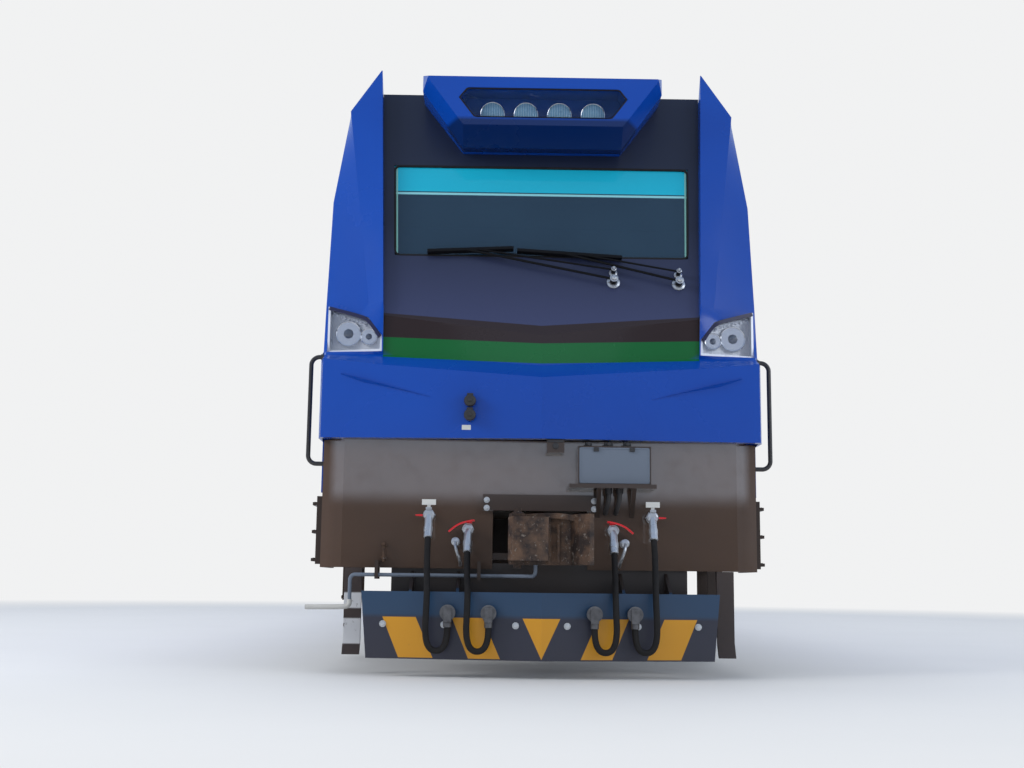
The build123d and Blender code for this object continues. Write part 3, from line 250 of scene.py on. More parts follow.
def livery(f):
    """Blue; green between two rising lines inside the mask's width; painted shade above them and on the chin.
    """
    x, y, z = f.xyz()
    level = z - abs(x) * band_rise
    front = (1 - abs(x).past(mask_half + 0.001, 0.002)) & abs(y).past(10.31, 0.01) & (1 - z.past(2.7))
    body = f.mix(f.noise(0.8, 3), (0.0006, 0.046, 0.33), (0.001, 0.068, 0.43))
    # Painted shade: the pod's chin faces down and is darkened here.
    shaded_chin = abs(y).past(10.0) & z.within(3.8, 4.02, 0.03) & (1 - abs(x).past(0.95))
    along = 1 - abs(y).past(9.95, 0.01)
    layers = ((shaded_chin, chin_shade_blue), (front & level.past(band_foot), green),
              (front & level.past(band_top), undercut_shade), (along & z.within(2.02, 2.165), green),
              (along & z.within(1.975, 1.995), (0.55, 0.62, 0.66)))
    for share, colour in layers:
        body = f.mix(share, body, colour)
    return body


painted("body_blue", livery, 0.26, 0.14, 2.0, Coat_Weight=0.22, Coat_Roughness=0.08, Specular_IOR_Level=0.28)


def mask_paint(f):
    """Slate painted lighter low down as shading; painted shade in dark brown below the crease under the
    screen.
    """
    x, _, z = f.xyz()
    crease = 2.44 + abs(x) * 0.0735
    upper = f.mix(f.noise(0.9, 3), (0.01, 0.015, 0.036), (0.016, 0.023, 0.048))
    # Painted shading: the slate is lighter low down and darker up top.
    slate_and_shade = f.mix(1 - z.past(2.85, 0.8), upper, (0.04, 0.05, 0.12))
    return f.mix((crease - z).past(0.0), slate_and_shade, undercut_shade)


painted("mask_dark", mask_paint, 0.34, ripple=0.0003, Specular_IOR_Level=0.35)
print("livery", sorted(finishes))

# %% [markdown]
# ## Glass
#
# The windscreen has a cyan sun band across its top, a thin pale line under it and pale edges where
# the heating film ends. Behind it the cab is dark, so most of what one sees is reflection. Alpha
# keeps a little of the inside visible. The same node is the headlamps' covers and the pane over the
# brow lamps, and those are nearly clear, so alpha falls where the pane lies at a lamp.

# %% Glass
glass = Finish("tinted_glass")
x, y, z = glass.xyz()
at_front = abs(y).past(9.95, 0.02)
on_screen = at_front & z.within(2.8, 3.85, 0.01)
sun_band = on_screen & z.past(3.527, 0.006)
thin_line = on_screen & z.within(3.5, 3.518, 0.004)
film_edge = on_screen & (abs(x) - (z - 2.985) * 0.048).within(1.054, 1.066, 0.003)
tint = glass.mix(glass.noise(1.1, 2), (0.014, 0.034, 0.064), (0.026, 0.062, 0.105))
tint = glass.mix(sun_band, tint, (0.01, 0.42, 0.6))
tint = glass.mix(thin_line, tint, (0.25, 0.6, 0.66))
tint = glass.mix(film_edge, tint, (0.22, 0.5, 0.45))
headlamp, brow = at_front & (1 - z.past(2.7, 0.01)), at_front & z.past(3.9, 0.01)
glass.surface(Base_Color=tint, Roughness=0.03 + glass.noise(2.5, 3) * 0.06, IOR=1.4,
              Alpha=0.84 + (sun_band | thin_line | film_edge) * 0.14 - headlamp * 0.76 - brow * 0.7)

lamp = Finish("lamp_lens")
x, _, z = lamp.xyz()
flutes, cloud = x.wave(0.018, 0.006), lamp.noise(6.0, 3)
pale = lamp.mix(cloud, (0.62, 0.66, 0.76), (0.88, 0.9, 0.95))
ribbed = lamp.mix(flutes, (0.2, 0.42, 0.62), (0.42, 0.62, 0.78))
lamp.surface(Base_Color=lamp.mix(1 - z.past(3.0, 0.1), ribbed, pale), Roughness=0.22 + cloud * 0.15,
             Metallic=0.2, Normal=lamp.bump(flutes, 0.002, 0.5))

# %% [markdown]
# ## The dark finishes below
#
# The apron is black gloss that mirrors the sky in its upper half. A clear coat with a high index of
# refraction over a dark base does that, and it ends at the side returns, which boots have rubbed
# dull. Frames, bogies and motors are duller, and the plough wears five yellow warning marks, each
# cut by slanted lines.

# %% Black gloss, slate and warning marks
front_face = 10.27


def black_gloss(name, gloss, brown, **extra):
    """Near-black paint: a brown-black base that goes matt where grime lies and low down."""
    f = Finish(name)
    y, z = f.xyz()[1:]
    cloud = f.noise(1.6, 4)
    grime = f.noise(9.0, 6, 0.65).past(0.58, 0.2)
    colour = f.mix(brown + cloud * 0.3, (0.012, 0.008, 0.007), (0.105, 0.054, 0.028))
    rough = gloss + cloud * 0.12 + grime * 0.08 + (1 - z.past(0.7, 0.4)) * 0.2
    coat = abs(y).past(front_face, 0.06) * (1 - grime * 0.15)
    f.surface(Base_Color=colour, Roughness=rough, Normal=f.bump(cloud, 0.001, 0.25),
              Coat_Weight=coat, **extra)


black_gloss("frame_black", 0.3, 0.1, Coat_IOR=1.3)
black_gloss("apron_gloss", 0.45, 0.42, Coat_IOR=2.25, Coat_Roughness=0.03)

mark_top, mark_foot = 0.392, 0.128
# Each mark: centre of its upper edge, of its lower edge, half of its upper and of its lower width
marks = ((-0.945, -0.83, 0.112, 0.115), (-0.49, -0.375, 0.102, 0.105), (0.0, 0.0, 0.124, 0.0),
         (0.48, 0.365, 0.102, 0.105), (0.935, 0.82, 0.112, 0.115))


def warning(f):
    """Slate, a lighter upper edge, painted shade in dark brown behind the blade, and yellow inside each
    mark's two slanted sides.
    """
    x, y, z = f.xyz()
    toward = x * y.maths("SIGN", y) * -1
    rise = (z - mark_foot) / (mark_top - mark_foot)
    yellow = 0
    for upper, lower, half_upper, half_lower in marks:
        centre, half = (rise * (a - b) + b for a, b in ((upper, lower), (half_upper, half_lower)))
        yellow = (half - abs(toward - centre)).past(0.0, 0.003) | yellow
    worn = f.noise(26.0, 6, 0.7).past(0.26, 0.08)
    outside = abs(y).past(10.55, 0.02) & z.within(mark_foot, mark_top, 0.003)
    slate_and_shade = f.mix(z.past(0.4, 0.03), (0.018, 0.022, 0.042), (0.012, 0.046, 0.105))
    # Painted shade: the carriers behind the blade are dark brown, as in its shadow.
    slate_and_shade = f.mix(abs(y).past(10.56, 0.02), (0.02, 0.014, 0.012), slate_and_shade)
    return f.mix(yellow & outside & (0.25 + worn * 0.75), slate_and_shade, (0.62, 0.28, 0.006))


painted("plough_slate", warning, 0.38, 0.16, 0.7)

rust = Finish("coupler_rust")
patch, pit = rust.noise(7.0, 6, 0.65), rust.noise(42.0, 4, 0.6)
cast = rust.mix(patch.past(0.5, 0.2), (0.02, 0.011, 0.008), (0.105, 0.058, 0.034))
cast = rust.mix(pit.past(0.64, 0.1), cast, (0.24, 0.2, 0.17))
rust.surface(Base_Color=cast, Roughness=0.55 + pit * 0.3, Metallic=pit.past(0.62, 0.1) * 0.6,
             Normal=rust.bump(patch * 0.6 + pit * 0.5, 0.008, 0.9))

painted("bogie_grey", (0.05, 0.052, 0.055), 0.55, 0.6, 1.5, 0.002)
painted("motor_dark", (0.028, 0.028, 0.03), 0.6, 0.5, 1.4, 0.002)
painted("spring_steel", (0.04, 0.04, 0.042), 0.45, 0.4, 1.5)
painted("roof_grey", (0.15, 0.16, 0.17), 0.5)
painted("louvre_paint", (0.003, 0.055, 0.32), 0.35, 0.15, 3.4)
painted("rail_steel", (0.03, 0.028, 0.028), 0.35, 0.3, 1.2)
painted("wiper_black", (0.006, 0.006, 0.007), 0.5, Specular_IOR_Level=0.12)
painted("arm_grey", (0.3, 0.045, 0.03), 0.4)
painted("post_white", (0.62, 0.62, 0.6), 0.35, 0.5, 1.0)
painted("handle_red", (0.62, 0.014, 0.02), 0.3)
painted("plate_grey", (0.135, 0.165, 0.215), 0.32)
# The headlamp lips' near-black navy is painted shade for the shaded underside of the overhang.
painted("shaded_lip_navy", (0.012, 0.012, 0.05), 0.3)
print("finishes", len(finishes))

# %% [markdown]
# ## Steel, rubber, lining and cloth
#
# A wheel is bright only where it runs. Its tread is found by the distance from the axle, which is
# the same for every wheelset once the length along the track is folded to one axle. Castings darken
# low down, in the spray. Rubber, cab lining and chair cloth differ mostly in their roughness and
# their small bumps.

# %% Wheels and soft finishes
bogie_y, axle_pitch, axle_z = 5.35, 2.15, 0.653

wheel = Finish("wheel_steel")
x, y, z = wheel.xyz()
from_pivot = abs(abs(y) - bogie_y)
along = from_pivot & abs(from_pivot - axle_pitch)
radius = (along * along + (z - axle_z) * (z - axle_z)) ** 0.5
tread = radius.past(0.608, 0.006) & abs(x).past(0.675, 0.004)
brown, fine = wheel.noise(5.0, 6, 0.6), wheel.noise(40.0, 3)
steel = wheel.mix(brown, (0.075, 0.045, 0.03), (0.13, 0.085, 0.06))
wheel.surface(Base_Color=wheel.mix(tread, steel, (0.55, 0.54, 0.52)), Metallic=tread * 0.9,
              Roughness=0.7 - tread * 0.42 + fine * 0.1, Normal=wheel.bump(brown + fine * 0.4, 0.002, 0.6))

valve = Finish("valve_silver")
grain, low_down = valve.noise(22.0, 4, 0.6), 1 - valve.xyz()[2].past(0.55, 0.2)
clean = valve.mix(grain, (0.38, 0.4, 0.43), (0.66, 0.68, 0.7))
dull = valve.mix(grain, (0.03, 0.028, 0.028), (0.2, 0.2, 0.21))
valve.surface(Base_Color=valve.mix(low_down, clean, dull), Roughness=0.22 + grain * 0.15 + low_down * 0.2,
              Metallic=0.85 - low_down * 0.3, Normal=valve.bump(grain, 0.001, 0.7))


def grained(name, first, second, rough, scale, depth, **extra):
    """Two close colours mixed by noise, which also gives a bump of the stated depth."""
    f = Finish(name)
    grain = f.noise(scale, 4, 0.6)
    f.surface(Base_Color=f.mix(grain, first, second), Roughness=rough + (grain - 0.5) * 0.15,
              Normal=f.bump(grain, depth, 0.7), **extra)


grained("hose_rubber", (0.007, 0.007, 0.008), (0.022, 0.02, 0.019), 0.65, 30.0, 0.0012,
        Specular_IOR_Level=0.2)
grained("cab_lining", (0.25, 0.26, 0.27), (0.34, 0.35, 0.36), 0.6, 120.0, 0.0006)
grained("chair_fabric", (0.012, 0.014, 0.02), (0.03, 0.034, 0.045), 0.9, 260.0, 0.001)
grained("bolt_pale", (0.4, 0.42, 0.44), (0.62, 0.64, 0.66), 0.35, 60.0, 0.0004, Metallic=0.5)
grained("insulator_red", (0.2, 0.035, 0.022), (0.27, 0.055, 0.035), 0.22, 8.0, 0.0004)
grained("copper", (0.36, 0.15, 0.08), (0.48, 0.22, 0.12), 0.35, 20.0, 0.0004, Metallic=0.9)
grained("carbon", (0.012, 0.012, 0.013), (0.03, 0.03, 0.032), 0.5, 90.0, 0.0006)
grained("chrome", (0.6, 0.62, 0.68), (0.8, 0.82, 0.86), 0.1, 14.0, 0.0002, Metallic=1.0)

own_finish = {"aprons": "apron_gloss", "uncoupling_rods": "plate_grey"}
for row in frame["record"]["subparts"]:
    materials = nodes[row["node"]].data.materials
    materials.clear()
    materials.append(finishes[own_finish.get(row["node"], row["material_slot"])])
print("painted", len(nodes), "nodes with", len(finishes), "finishes")

# %% [markdown]
# ## Floor, sky and light
#
# The floor is a plain pale plane that brightens evenly into the pale backdrop with distance, so no
# horizon cuts across the picture. Glossy faces see a sky of their own, with a dark strip near the
# horizon, as a yard has buildings and ballast there: that strip is what darkens the lower half of
# the apron. A large lamp on the left does the modelling and a second one fills from the right.

# %% Floor
floor_half, fade_start, fade_length = 90.0, 11.5, 9.0
backdrop = (0.88, 0.885, 0.89)
square = np.array([(-1, -1), (1, -1), (1, 1), (-1, 1)], float)
floor_mesh = bpy.data.meshes.new("floor")
floor_mesh.from_pydata(np.column_stack([square * floor_half, np.zeros(4)]).tolist(), [], [(0, 1, 2, 3)])
floor = bpy.data.objects.new("floor", floor_mesh)
bpy.context.scene.collection.objects.link(floor)

ground = Finish("floor_pale")
x, y, _ = ground.xyz()
fade = ((x * x + y * y) ** 0.5).past(fade_start + fade_length / 2, fade_length)
speckle = ground.mix(ground.noise(0.6, 3), (0.72, 0.73, 0.74), (0.76, 0.77, 0.78))
ground.surface(Base_Color=speckle, Roughness=0.85)
camera_ray = ground.node("ShaderNodeLightPath")
glow = ground.node("ShaderNodeEmission", sockets={"Color": backdrop, "Strength": 1.0})
matt = Signal(ground, ground.shader.outputs[0])
shown = ground.node("ShaderNodeMixShader", sockets={0: fade * camera_ray, 1: matt, 2: glow})
ground.feed(ground.tree.nodes["Material Output"].inputs[0], shown)
floor_mesh.materials.append(ground.material)

# %% Sky
world = bpy.data.worlds.new("sky")
bpy.context.scene.world = world
world.use_nodes = True
sky = Tree(world.node_tree)
way = sky.node("ShaderNodeTexCoord", out="Generated")
height = sky.node("ShaderNodeSeparateXYZ", sockets={0: way}, out=2)
strip = sky.node("ShaderNodeValToRGB", sockets={0: height})
stops = strip.socket.node.color_ramp.elements
stops[0].position, stops[0].color = 0.06, (0.022, 0.016, 0.014, 1)
stops[1].position, stops[1].color = 0.07, (0.62, 0.68, 0.8, 1)
stops.new(0.35).color = (0.5, 0.6, 0.8, 1)
stops.new(1.0).color = (0.34, 0.44, 0.62, 1)
glossy, seen, through = (sky.node("ShaderNodeLightPath", out=f"Is {ray} Ray")
                         for ray in ("Glossy", "Camera", "Transmission"))
open_sky = sky.mix(seen | through, sky.mix(glossy, (0.62, 0.66, 0.72), strip), backdrop)
sky.feed(sky.tree.nodes["Background"].inputs[0], open_sky)


# %% Lamps
def area_lamp(name, place, target, size, power, colour=(1, 1, 1)):
    """A square soft lamp that points from its place to its target."""
    light = bpy.data.lights.new(name, "AREA")
    light.size, light.energy, light.color = size, power, colour
    lamp = bpy.data.objects.new(name, light)
    bpy.context.scene.collection.objects.link(lamp)
    lamp.location = place
    lamp.rotation_euler = (Vector(target) - Vector(place)).to_track_quat("-Z", "Y").to_euler()
    return lamp


key = area_lamp("key_left", (-15, -16, 9), (0, -9, 2.5), 6, 1300, (1.0, 0.97, 0.93))
area_lamp("fill_right", (15, -20, 7), (0, -9, 2.5), 8, 600, (0.92, 0.96, 1.0))
top = area_lamp("top_soft", (0, 0, 22), (0, 0, 2), 16, 2000)
key.visible_glossy = top.visible_glossy = False
bpy.context.scene.view_settings.view_transform = "Standard"

# %% [markdown]
# ## Brake hoses
#
# Four hoses hang from the angle cocks at each end. Each leaves its cock pointing down and forward,
# drops in front of the plough and turns back up to its coupling head, which hangs on a rest. A NURBS
# curve of order three whose control points are the route gives one smooth line, and its bevel is
# the hose. The order is set after the points are added, because before that it stays at two.

# %% Hoses as curves
hose_radius = 0.021
cock_rows = ((-0.77, 1.08), (-0.5, 0.985), (0.5, 0.985), (0.77, 1.08))


def plough_depth(x):
    """Depth of the plough's blade at a distance from the centre line, behind the front plane."""
    return -0.385 + 0.17 * x / 1.205


def hose_route(x, z):
    """Points from the cock's tail to the coupling head, in depths from the front plane."""
    side = math.copysign(1, -x)
    depth = plough_depth(abs(x) - 0.155) - 0.056
    down = Vector((0, -0.07, -0.15)).normalized()
    start = Vector((x, -0.1403, z - 0.13)) + down * 0.0003
    far = x + side * 0.155
    return [start, start + down * 0.19, Vector((x + side * 0.015, depth, 0.545)),
            Vector((x, depth - 0.006, 0.18)), Vector((far, depth - 0.003, 0.176)),
            Vector((far - side * 0.004, depth + 0.004, 0.33))]


def spline_curve(name, points, radius=0.0):
    """A curve object whose one NURBS spline of order three has the points as its control points."""
    curve = bpy.data.curves.new(name, "CURVE")
    curve.dimensions = "3D"
    curve.bevel_depth, curve.bevel_resolution, curve.resolution_u = radius, 5, 10
    curve.use_fill_caps = True
    spline = curve.splines.new("NURBS")
    spline.points.add(len(points) - 1)
    spline.points.foreach_set("co", np.column_stack([np.array(points), np.ones(len(points))]).ravel())
    spline.order_u, spline.use_endpoint_u = 3, True
    return bpy.data.objects.new(name, curve)


def line_length(points):
    """Length of the spline, read from its own mesh with no bevel."""
    probe = spline_curve("measure", points)
    mesh = bpy.data.meshes.new_from_object(probe)
    co = np.empty(len(mesh.vertices) * 3)
    mesh.vertices.foreach_get("co", co)
    bpy.data.objects.remove(probe)
    bpy.data.meshes.remove(mesh)
    return float(np.linalg.norm(np.diff(co.reshape(-1, 3), axis=0), axis=1).sum())


for end, turn in (("a", 1), ("b", -1)):
    for number, (x, z) in enumerate(cock_rows, 1):
        route = [Vector((p.x * turn, (front_y + p.y) * turn, p.z)) for p in hose_route(x, z)]
        hose = spline_curve(f"brake_hose_{end}_{number}", route, hose_radius)
        bpy.context.scene.collection.objects.link(hose)
        hose.data.materials.append(finishes["hose_rubber"])
        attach(hose, "car_body")
        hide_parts("brake_hoses")
        length = line_length(route)
        print(hose.name, "length", round(length, 3))

# %% [markdown]
# ## Surfaces from arrays
#
# Every added piece is made of forms, and a form is an array of points with a list of faces. Three
# makers cover nearly all of them. A turned form sweeps a profile round an axis, as a lathe does. A
# swept form carries a section along a path, as a bent pipe or a rubber seal does. A prism gives a
# flat outline a thickness. Bolts and clamps are one form copied to many places in one array sum.

# %% Makers of forms
def grid_faces(rows, columns, round_rows=False, round_columns=True):
    """Quads between neighbouring points of a grid, wrapping round where a direction is closed."""
    r = np.arange(rows if round_rows else rows - 1)[:, None]
    c = np.arange(columns if round_columns else columns - 1)[None, :]
    r2, c2 = (r + 1) % rows, (c + 1) % columns
    corners = np.broadcast_arrays(r * columns + c, r * columns + c2, r2 * columns + c2, r2 * columns + c)
    return np.stack(corners, -1).reshape(-1, 4).tolist()


def lofted(rings):
    """Rings of equal count joined side by side, with a cap on the first and one on the last."""
    rings = np.asarray(rings, float)
    rows, columns = rings.shape[:2]
    caps = [list(range(columns)), list(range((rows - 1) * columns, rows * columns))]
    return rings.reshape(-1, 3), grid_faces(rows, columns) + caps


def joined(*forms):
    """Several forms as one: points stacked, face numbers moved on by the points before them."""
    starts = np.cumsum([0] + [len(points) for points, _ in forms])
    faces = [[i + start for i in face] for (_, some), start in zip(forms, starts.tolist()) for face in some]
    return np.concatenate([points for points, _ in forms]), faces


def unit(vector):
    vector = np.array(vector, float)
    return vector / np.linalg.norm(vector, axis=-1, keepdims=True)


def turned(profile, sides, place=(0, 0, 0), axis=(0, 0, 1)):
    """Rows of (distance along the axis, radius): each ring is its radius times cosine and sine."""
    along, radius = np.array(profile, float).T[:, :, None, None]
    axis = unit(axis)
    across = unit(np.cross(axis, (0, 0, 1) if abs(axis[2]) < 0.9 else (0, 1, 0)))
    ring = circle(1, sides) @ np.array([across, np.cross(axis, across)])
    return lofted(np.array(place) + along * axis + radius * ring)


def swept(path, section, up=(0, 0, 1), closed=False):
    """Path point + section side times the sideways direction + section height times the upward one."""
    path, section = np.array(path, float), np.array(section, float)
    if closed:
        ahead = unit(np.roll(path, -1, axis=0) - np.roll(path, 1, axis=0))
    else:
        ahead = unit(np.gradient(path, axis=0))
    side = unit(np.cross(ahead, up))
    high = np.cross(side, ahead)
    rings = path[:, None] + section[:, :1] * side[:, None] + section[:, 1:] * high[:, None]
    if closed:
        return rings.reshape(-1, 3), grid_faces(len(path), len(section), round_rows=True)
    return lofted(rings)


def circle(radius, sides=8):
    turn = np.linspace(0, 2 * np.pi, sides, endpoint=False)
    return np.column_stack([np.cos(turn), np.sin(turn)]) * radius


def oblong(width, height):
    return square * (width / 2, height / 2)


def box_outline(x0, x1, y0, y1):
    return [(x0, y0), (x1, y0), (x1, y1), (x0, y1)]


def bowed(points, steps=6):
    """Quadratic B-spline: each run blends three neighbours; doubled ends make it start and stop there."""
    p = np.array(points, float)
    p = np.concatenate([p[:1], p, p[-1:]])
    t = np.linspace(0, 1, steps, endpoint=False)[None, :, None]
    a, b, c = p[:-2, None], p[1:-1, None], p[2:, None]
    runs = 0.5 * (1 - t) ** 2 * a + (0.5 + t * (1 - t)) * b + 0.5 * t ** 2 * c
    return np.concatenate([runs.reshape(-1, p.shape[1]), p[-1:]])


def rounded_loop(corners, radius, steps=5):
    """Closed outline whose corners are quadratic curves that start and end a radius from the corner."""
    c = np.array(corners, float)
    before = c + unit(np.roll(c, 1, axis=0) - c) * radius
    after = c + unit(np.roll(c, -1, axis=0) - c) * radius
    t = np.linspace(0, 1, steps)[None, :, None]
    curve = (1 - t) ** 2 * before[:, None] + 2 * t * (1 - t) * c[:, None] + t ** 2 * after[:, None]
    return curve.reshape(-1, c.shape[1])


def prism(outline, start, end, axis=0):
    """A flat outline in the two other axes, repeated at two distances along the axis."""
    return lofted([np.insert(np.array(outline, float), axis, value, axis=1) for value in (start, end)])


def slab(x0, x1, y0, y1, z0, z1):
    return prism(box_outline(y0, y1, z0, z1), x0, x1)


def block(x, y, z, wide, deep, high):
    """A slab given by its middle and its three sizes."""
    return slab(x - wide / 2, x + wide / 2, y - deep / 2, y + deep / 2, z - high / 2, z + high / 2)


def copied(form, places):
    """One form at many places: every place is added to every point at once."""
    points, faces = form
    places = np.array(places, float).reshape(-1, 3)
    moved = (places[:, None] + points[None]).reshape(-1, 3)
    return moved, [[i + k * len(points) for i in face] for k in range(len(places)) for face in faces]


def flipped(form, x, y):
    points, faces = form
    return points * (x, y, 1), faces


def bolt(radius, axis):
    """Hexagonal head on its washer, about the origin."""
    head = turned([(0.2 * radius, radius), (0.9 * radius, radius), (radius, 0.82 * radius)], 6, axis=axis)
    return joined(turned([(0, 1.45 * radius), (0.25 * radius, 1.45 * radius)], 10, axis=axis), head)


right_way, left_way, turned_way, back_way = (1, 1), (-1, 1), (-1, -1), (1, -1)
# Where a piece's forms are repeated: their shift along the track, then a sign for x and for y each time.
# Pieces of the cab ends are made in depths behind the front plane, and those of a bogie from its pivot.
spreads = {
    "once": (0, [right_way]), "sides": (0, [right_way, left_way]), "halves": (0, [right_way, turned_way]),
    "ends": (front_y, [right_way, turned_way]),
    "corners": (front_y, [right_way, left_way, turned_way, back_way]),
    "a_right": (front_y, [right_way]), "a_left": (front_y, [left_way]),
    "b_right": (front_y, [turned_way]), "b_left": (front_y, [back_way]),
    "bogie_a": (-bogie_y, [right_way, left_way]), "bogie_b": (-bogie_y, [turned_way, back_way]),
    "springs_a": (-bogie_y, [right_way]), "springs_b": (bogie_y, [right_way])}
aside, inward, outward = (1, 0, 0), (0, 1, 0), (0, -1, 0)
made = []


def piece(name, forms, spread, finish, body="car_body", instead=None, bevel=0.0, smooth=35):
    """Forms as one finished object: doubles merged, faces outward, edges sharp past an angle."""
    shift, flips = spreads[spread]
    points, faces = joined(*forms)
    points = points + (0, shift, 0)
    points, faces = joined(*[flipped((points, faces), *flip) for flip in flips])
    mesh = bpy.data.meshes.new(name)
    mesh.from_pydata(points.tolist(), [], faces)
    work = bmesh.new()
    work.from_mesh(mesh)
    bmesh.ops.remove_doubles(work, verts=work.verts, dist=1e-5)
    bmesh.ops.recalc_face_normals(work, faces=work.faces)
    work.to_mesh(mesh)
    work.free()
    mesh.shade_smooth()
    mesh.set_sharp_from_angle(angle=math.radians(smooth))
    mesh.materials.append(finishes[finish])
    whole = bpy.data.objects.new(name, mesh)
    bpy.context.scene.collection.objects.link(whole)
    if bevel:
        edge = whole.modifiers.new("edge", "BEVEL")
        edge.width, edge.segments, edge.limit_method = bevel, 2, "ANGLE"
    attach(whole, body)
    if instead:
        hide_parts(instead)
    made.append(name)
    return whole


# %% [markdown]
# ## Coil springs and dampers
#
# Each axle box carries two coil springs and each side beam four taller ones. The solid model holds
# them as plain cylinders, so the real helix is made here and stands in for them: the angle grows
# evenly along the wire, and the height holds still over the first and last turn, which are ground
# flat, and rises evenly between. A rubber stop fills the middle, and an oil damper stands beside
# every outer axle box: a rod in its cylinder between two eyes, on a lug of the box and one of the beam.

# %% Springs
beam_x = 1.06


def coil_spring(foot, head, radius, wire, turns):
    """Helix: angle even along the wire; height held for the flat end turns, even between them."""
    t = np.linspace(0, 1, int(turns * 16) + 1)
    flat = 0.75 / turns
    rise = np.clip((t - flat) / (1 - 2 * flat), 0, 1)
    angle = 2 * np.pi * turns * t
    height = foot + wire + (head - foot - 2 * wire) * rise
    around = np.column_stack([np.cos(angle), np.sin(angle)]) * (radius - wire)
    return swept(np.column_stack([around, height]), circle(wire, 7))


def spring_stop(foot, head, radius):
    """Rubber column between two seats as wide as the spring."""
    thin = radius * 0.42
    return turned([(foot, radius), (foot + 0.01, radius), (foot + 0.014, radius * 0.5), (foot + 0.1, thin),
                   (head - 0.014, thin), (head - 0.01, radius), (head, radius)], 20)


def damper(y):
    """Rod, dust tube and cylinder turned about an upright axis, with an eye and a lug at each end."""
    x = 1.209
    tube = [(0.56, 0.018), (0.625, 0.018), (0.632, 0.026), (0.64, 0.026), (0.65, 0.028), (0.815, 0.028),
            (0.82, 0.036), (0.935, 0.036), (0.95, 0.03), (0.955, 0.018), (1.04, 0.018)]
    eye = [(-0.0235, 0.02), (-0.0235, 0.033), (0.0235, 0.033), (0.0235, 0.02)]
    pin = [(-0.026, 0.012), (0.03, 0.012)]
    eyes = joined(turned(eye, 18, (x, y, 0), aside), turned(pin, 6, (x, y, 0), aside))
    return joined(turned(tube, 18, (x, y, 0)), copied(eyes, [(0, 0, 0.59), (0, 0, 1.01)]),
                  slab(1.144, 1.185, y - 0.04, y + 0.04, 0.97, 1.05),
                  slab(1.15, 1.185, y - 0.032, y + 0.032, 0.548, 0.632))


coils, stops = [], []
# Places along a beam, spacing of the pair there, then foot, head, radius, wire and turns of the spring
for middles, step, foot, head, radius, wire, turns in (
        ((-axle_pitch, 0, axle_pitch), 0.33, 0.603, 0.9297, 0.085, 0.0135, 6),
        ((-1.075, 1.075), 0.185, 1.12, 1.36, 0.11, 0.017, 5)):
    places = [(side * beam_x, y + s, 0) for side in (-1, 1) for y in middles for s in (-step, step)]
    coils.append(copied(coil_spring(foot, head, radius, wire, turns), places))
    stops.append(copied(spring_stop(foot, head, radius), places))
dampers = [damper(y) for y in (-1.915, 1.915)]
for end in "ab":
    for name, forms, spread, finish in (("spring_coils", coils, "springs", "spring_steel"),
                                        ("spring_stops", stops, "springs", "bogie_grey"),
                                        ("dampers", dampers, "bogie", "motor_dark")):
        piece(f"{name}_{end}", forms, f"{spread}_{end}", finish, f"bogie_{end}",
              f"bogie_springs_{end}")

# %% [markdown]
# ## Driver's seats
#
# Two chairs stand behind each desk. A sprung chair has a crowned cushion and a raked back, both
# covered in woven cloth with sewn channels and a welt round the edge. The pad is a closed form over
# two parameters: it is highest in the middle, its sides pull in between the corners, and channels
# dip it along lines. A subdivision level rounds what is left of the grid.

# %% Padded seats
seat_x, seat_y, seat_rear = 0.56, 1.235, 1.45


def pad(centre, along, out, size, channels, steps=17):
    """Height is thickness times (1-u^4)(1-v^4) to a small power, less a dip at each channel line."""
    u, v = np.meshgrid(np.linspace(-1, 1, steps), np.linspace(-1, 1, steps), indexing="ij")
    half_a, half_b, thick = size
    crown = np.clip((1 - u ** 4) * (1 - v ** 4), 0, 1) ** 0.32 * (0.86 + 0.14 * (1 - u * u) * (1 - v * v))
    dips = sum(np.exp(-((u - c) / 0.05) ** 2) for c in channels) * 0.16
    pull_u, pull_v = ((a * (1 - 0.035 * (1 - b * b)))[..., None] for a, b in ((u, v), (v, u)))
    base = np.array(centre) + pull_u * half_a * np.array(aside) + pull_v * half_b * unit(along)
    rise = (thick / 2 * crown)[..., None] * unit(out)
    faces = grid_faces(steps, steps, round_columns=False)
    front, back = base + rise * (1 - dips)[..., None], base - rise * 0.92
    return joined((front.reshape(-1, 3), faces), (back.reshape(-1, 3), faces))


def seat_frame(x):
    """Pedestal with its bellows, pan, back shell and two armrests."""
    folds = [(1.65 + 0.024 * i, 0.13 - 0.018 * (i % 2)) for i in range(14)]
    stand = turned([(1.64, 0.168), (1.648, 0.168)] + folds + [(2.0, 0.1), (2.03, 0.15)], 28, (x, seat_y, 0))
    low, high = seat_rear + 0.044, seat_rear + 0.098
    shell = prism([(low, 2.1), (low + 0.012, 2.1), (high + 0.012, 2.8), (high, 2.8)], x - 0.2, x + 0.2)
    rests = [(block(x + s * 0.235, seat_y + 0.045, 2.3775, 0.04, 0.29, 0.035)) for s in (-1, 1)]
    stays = [block(x + s * 0.231, seat_y + 0.17, 2.2, 0.018, 0.04, 0.34) for s in (-1, 1)]
    return joined(stand, block(x, seat_y, 2.044, 0.42, 0.38, 0.028), shell, *rests, *stays)


def seat_pads(x):
    """Cushion and raked back of one chair."""
    cushion = pad((x, seat_y - 0.008, 2.122), inward, (0, 0, 1), (0.238, 0.205, 0.112), (-0.62, 0.62))
    back = pad((x, seat_rear + 0.012, 2.5), (0, 0.1, 0.7), (0, -0.99, 0.14), (0.225, 0.315, 0.082),
               (-0.6, 0.0, 0.6))
    return joined(cushion, back)


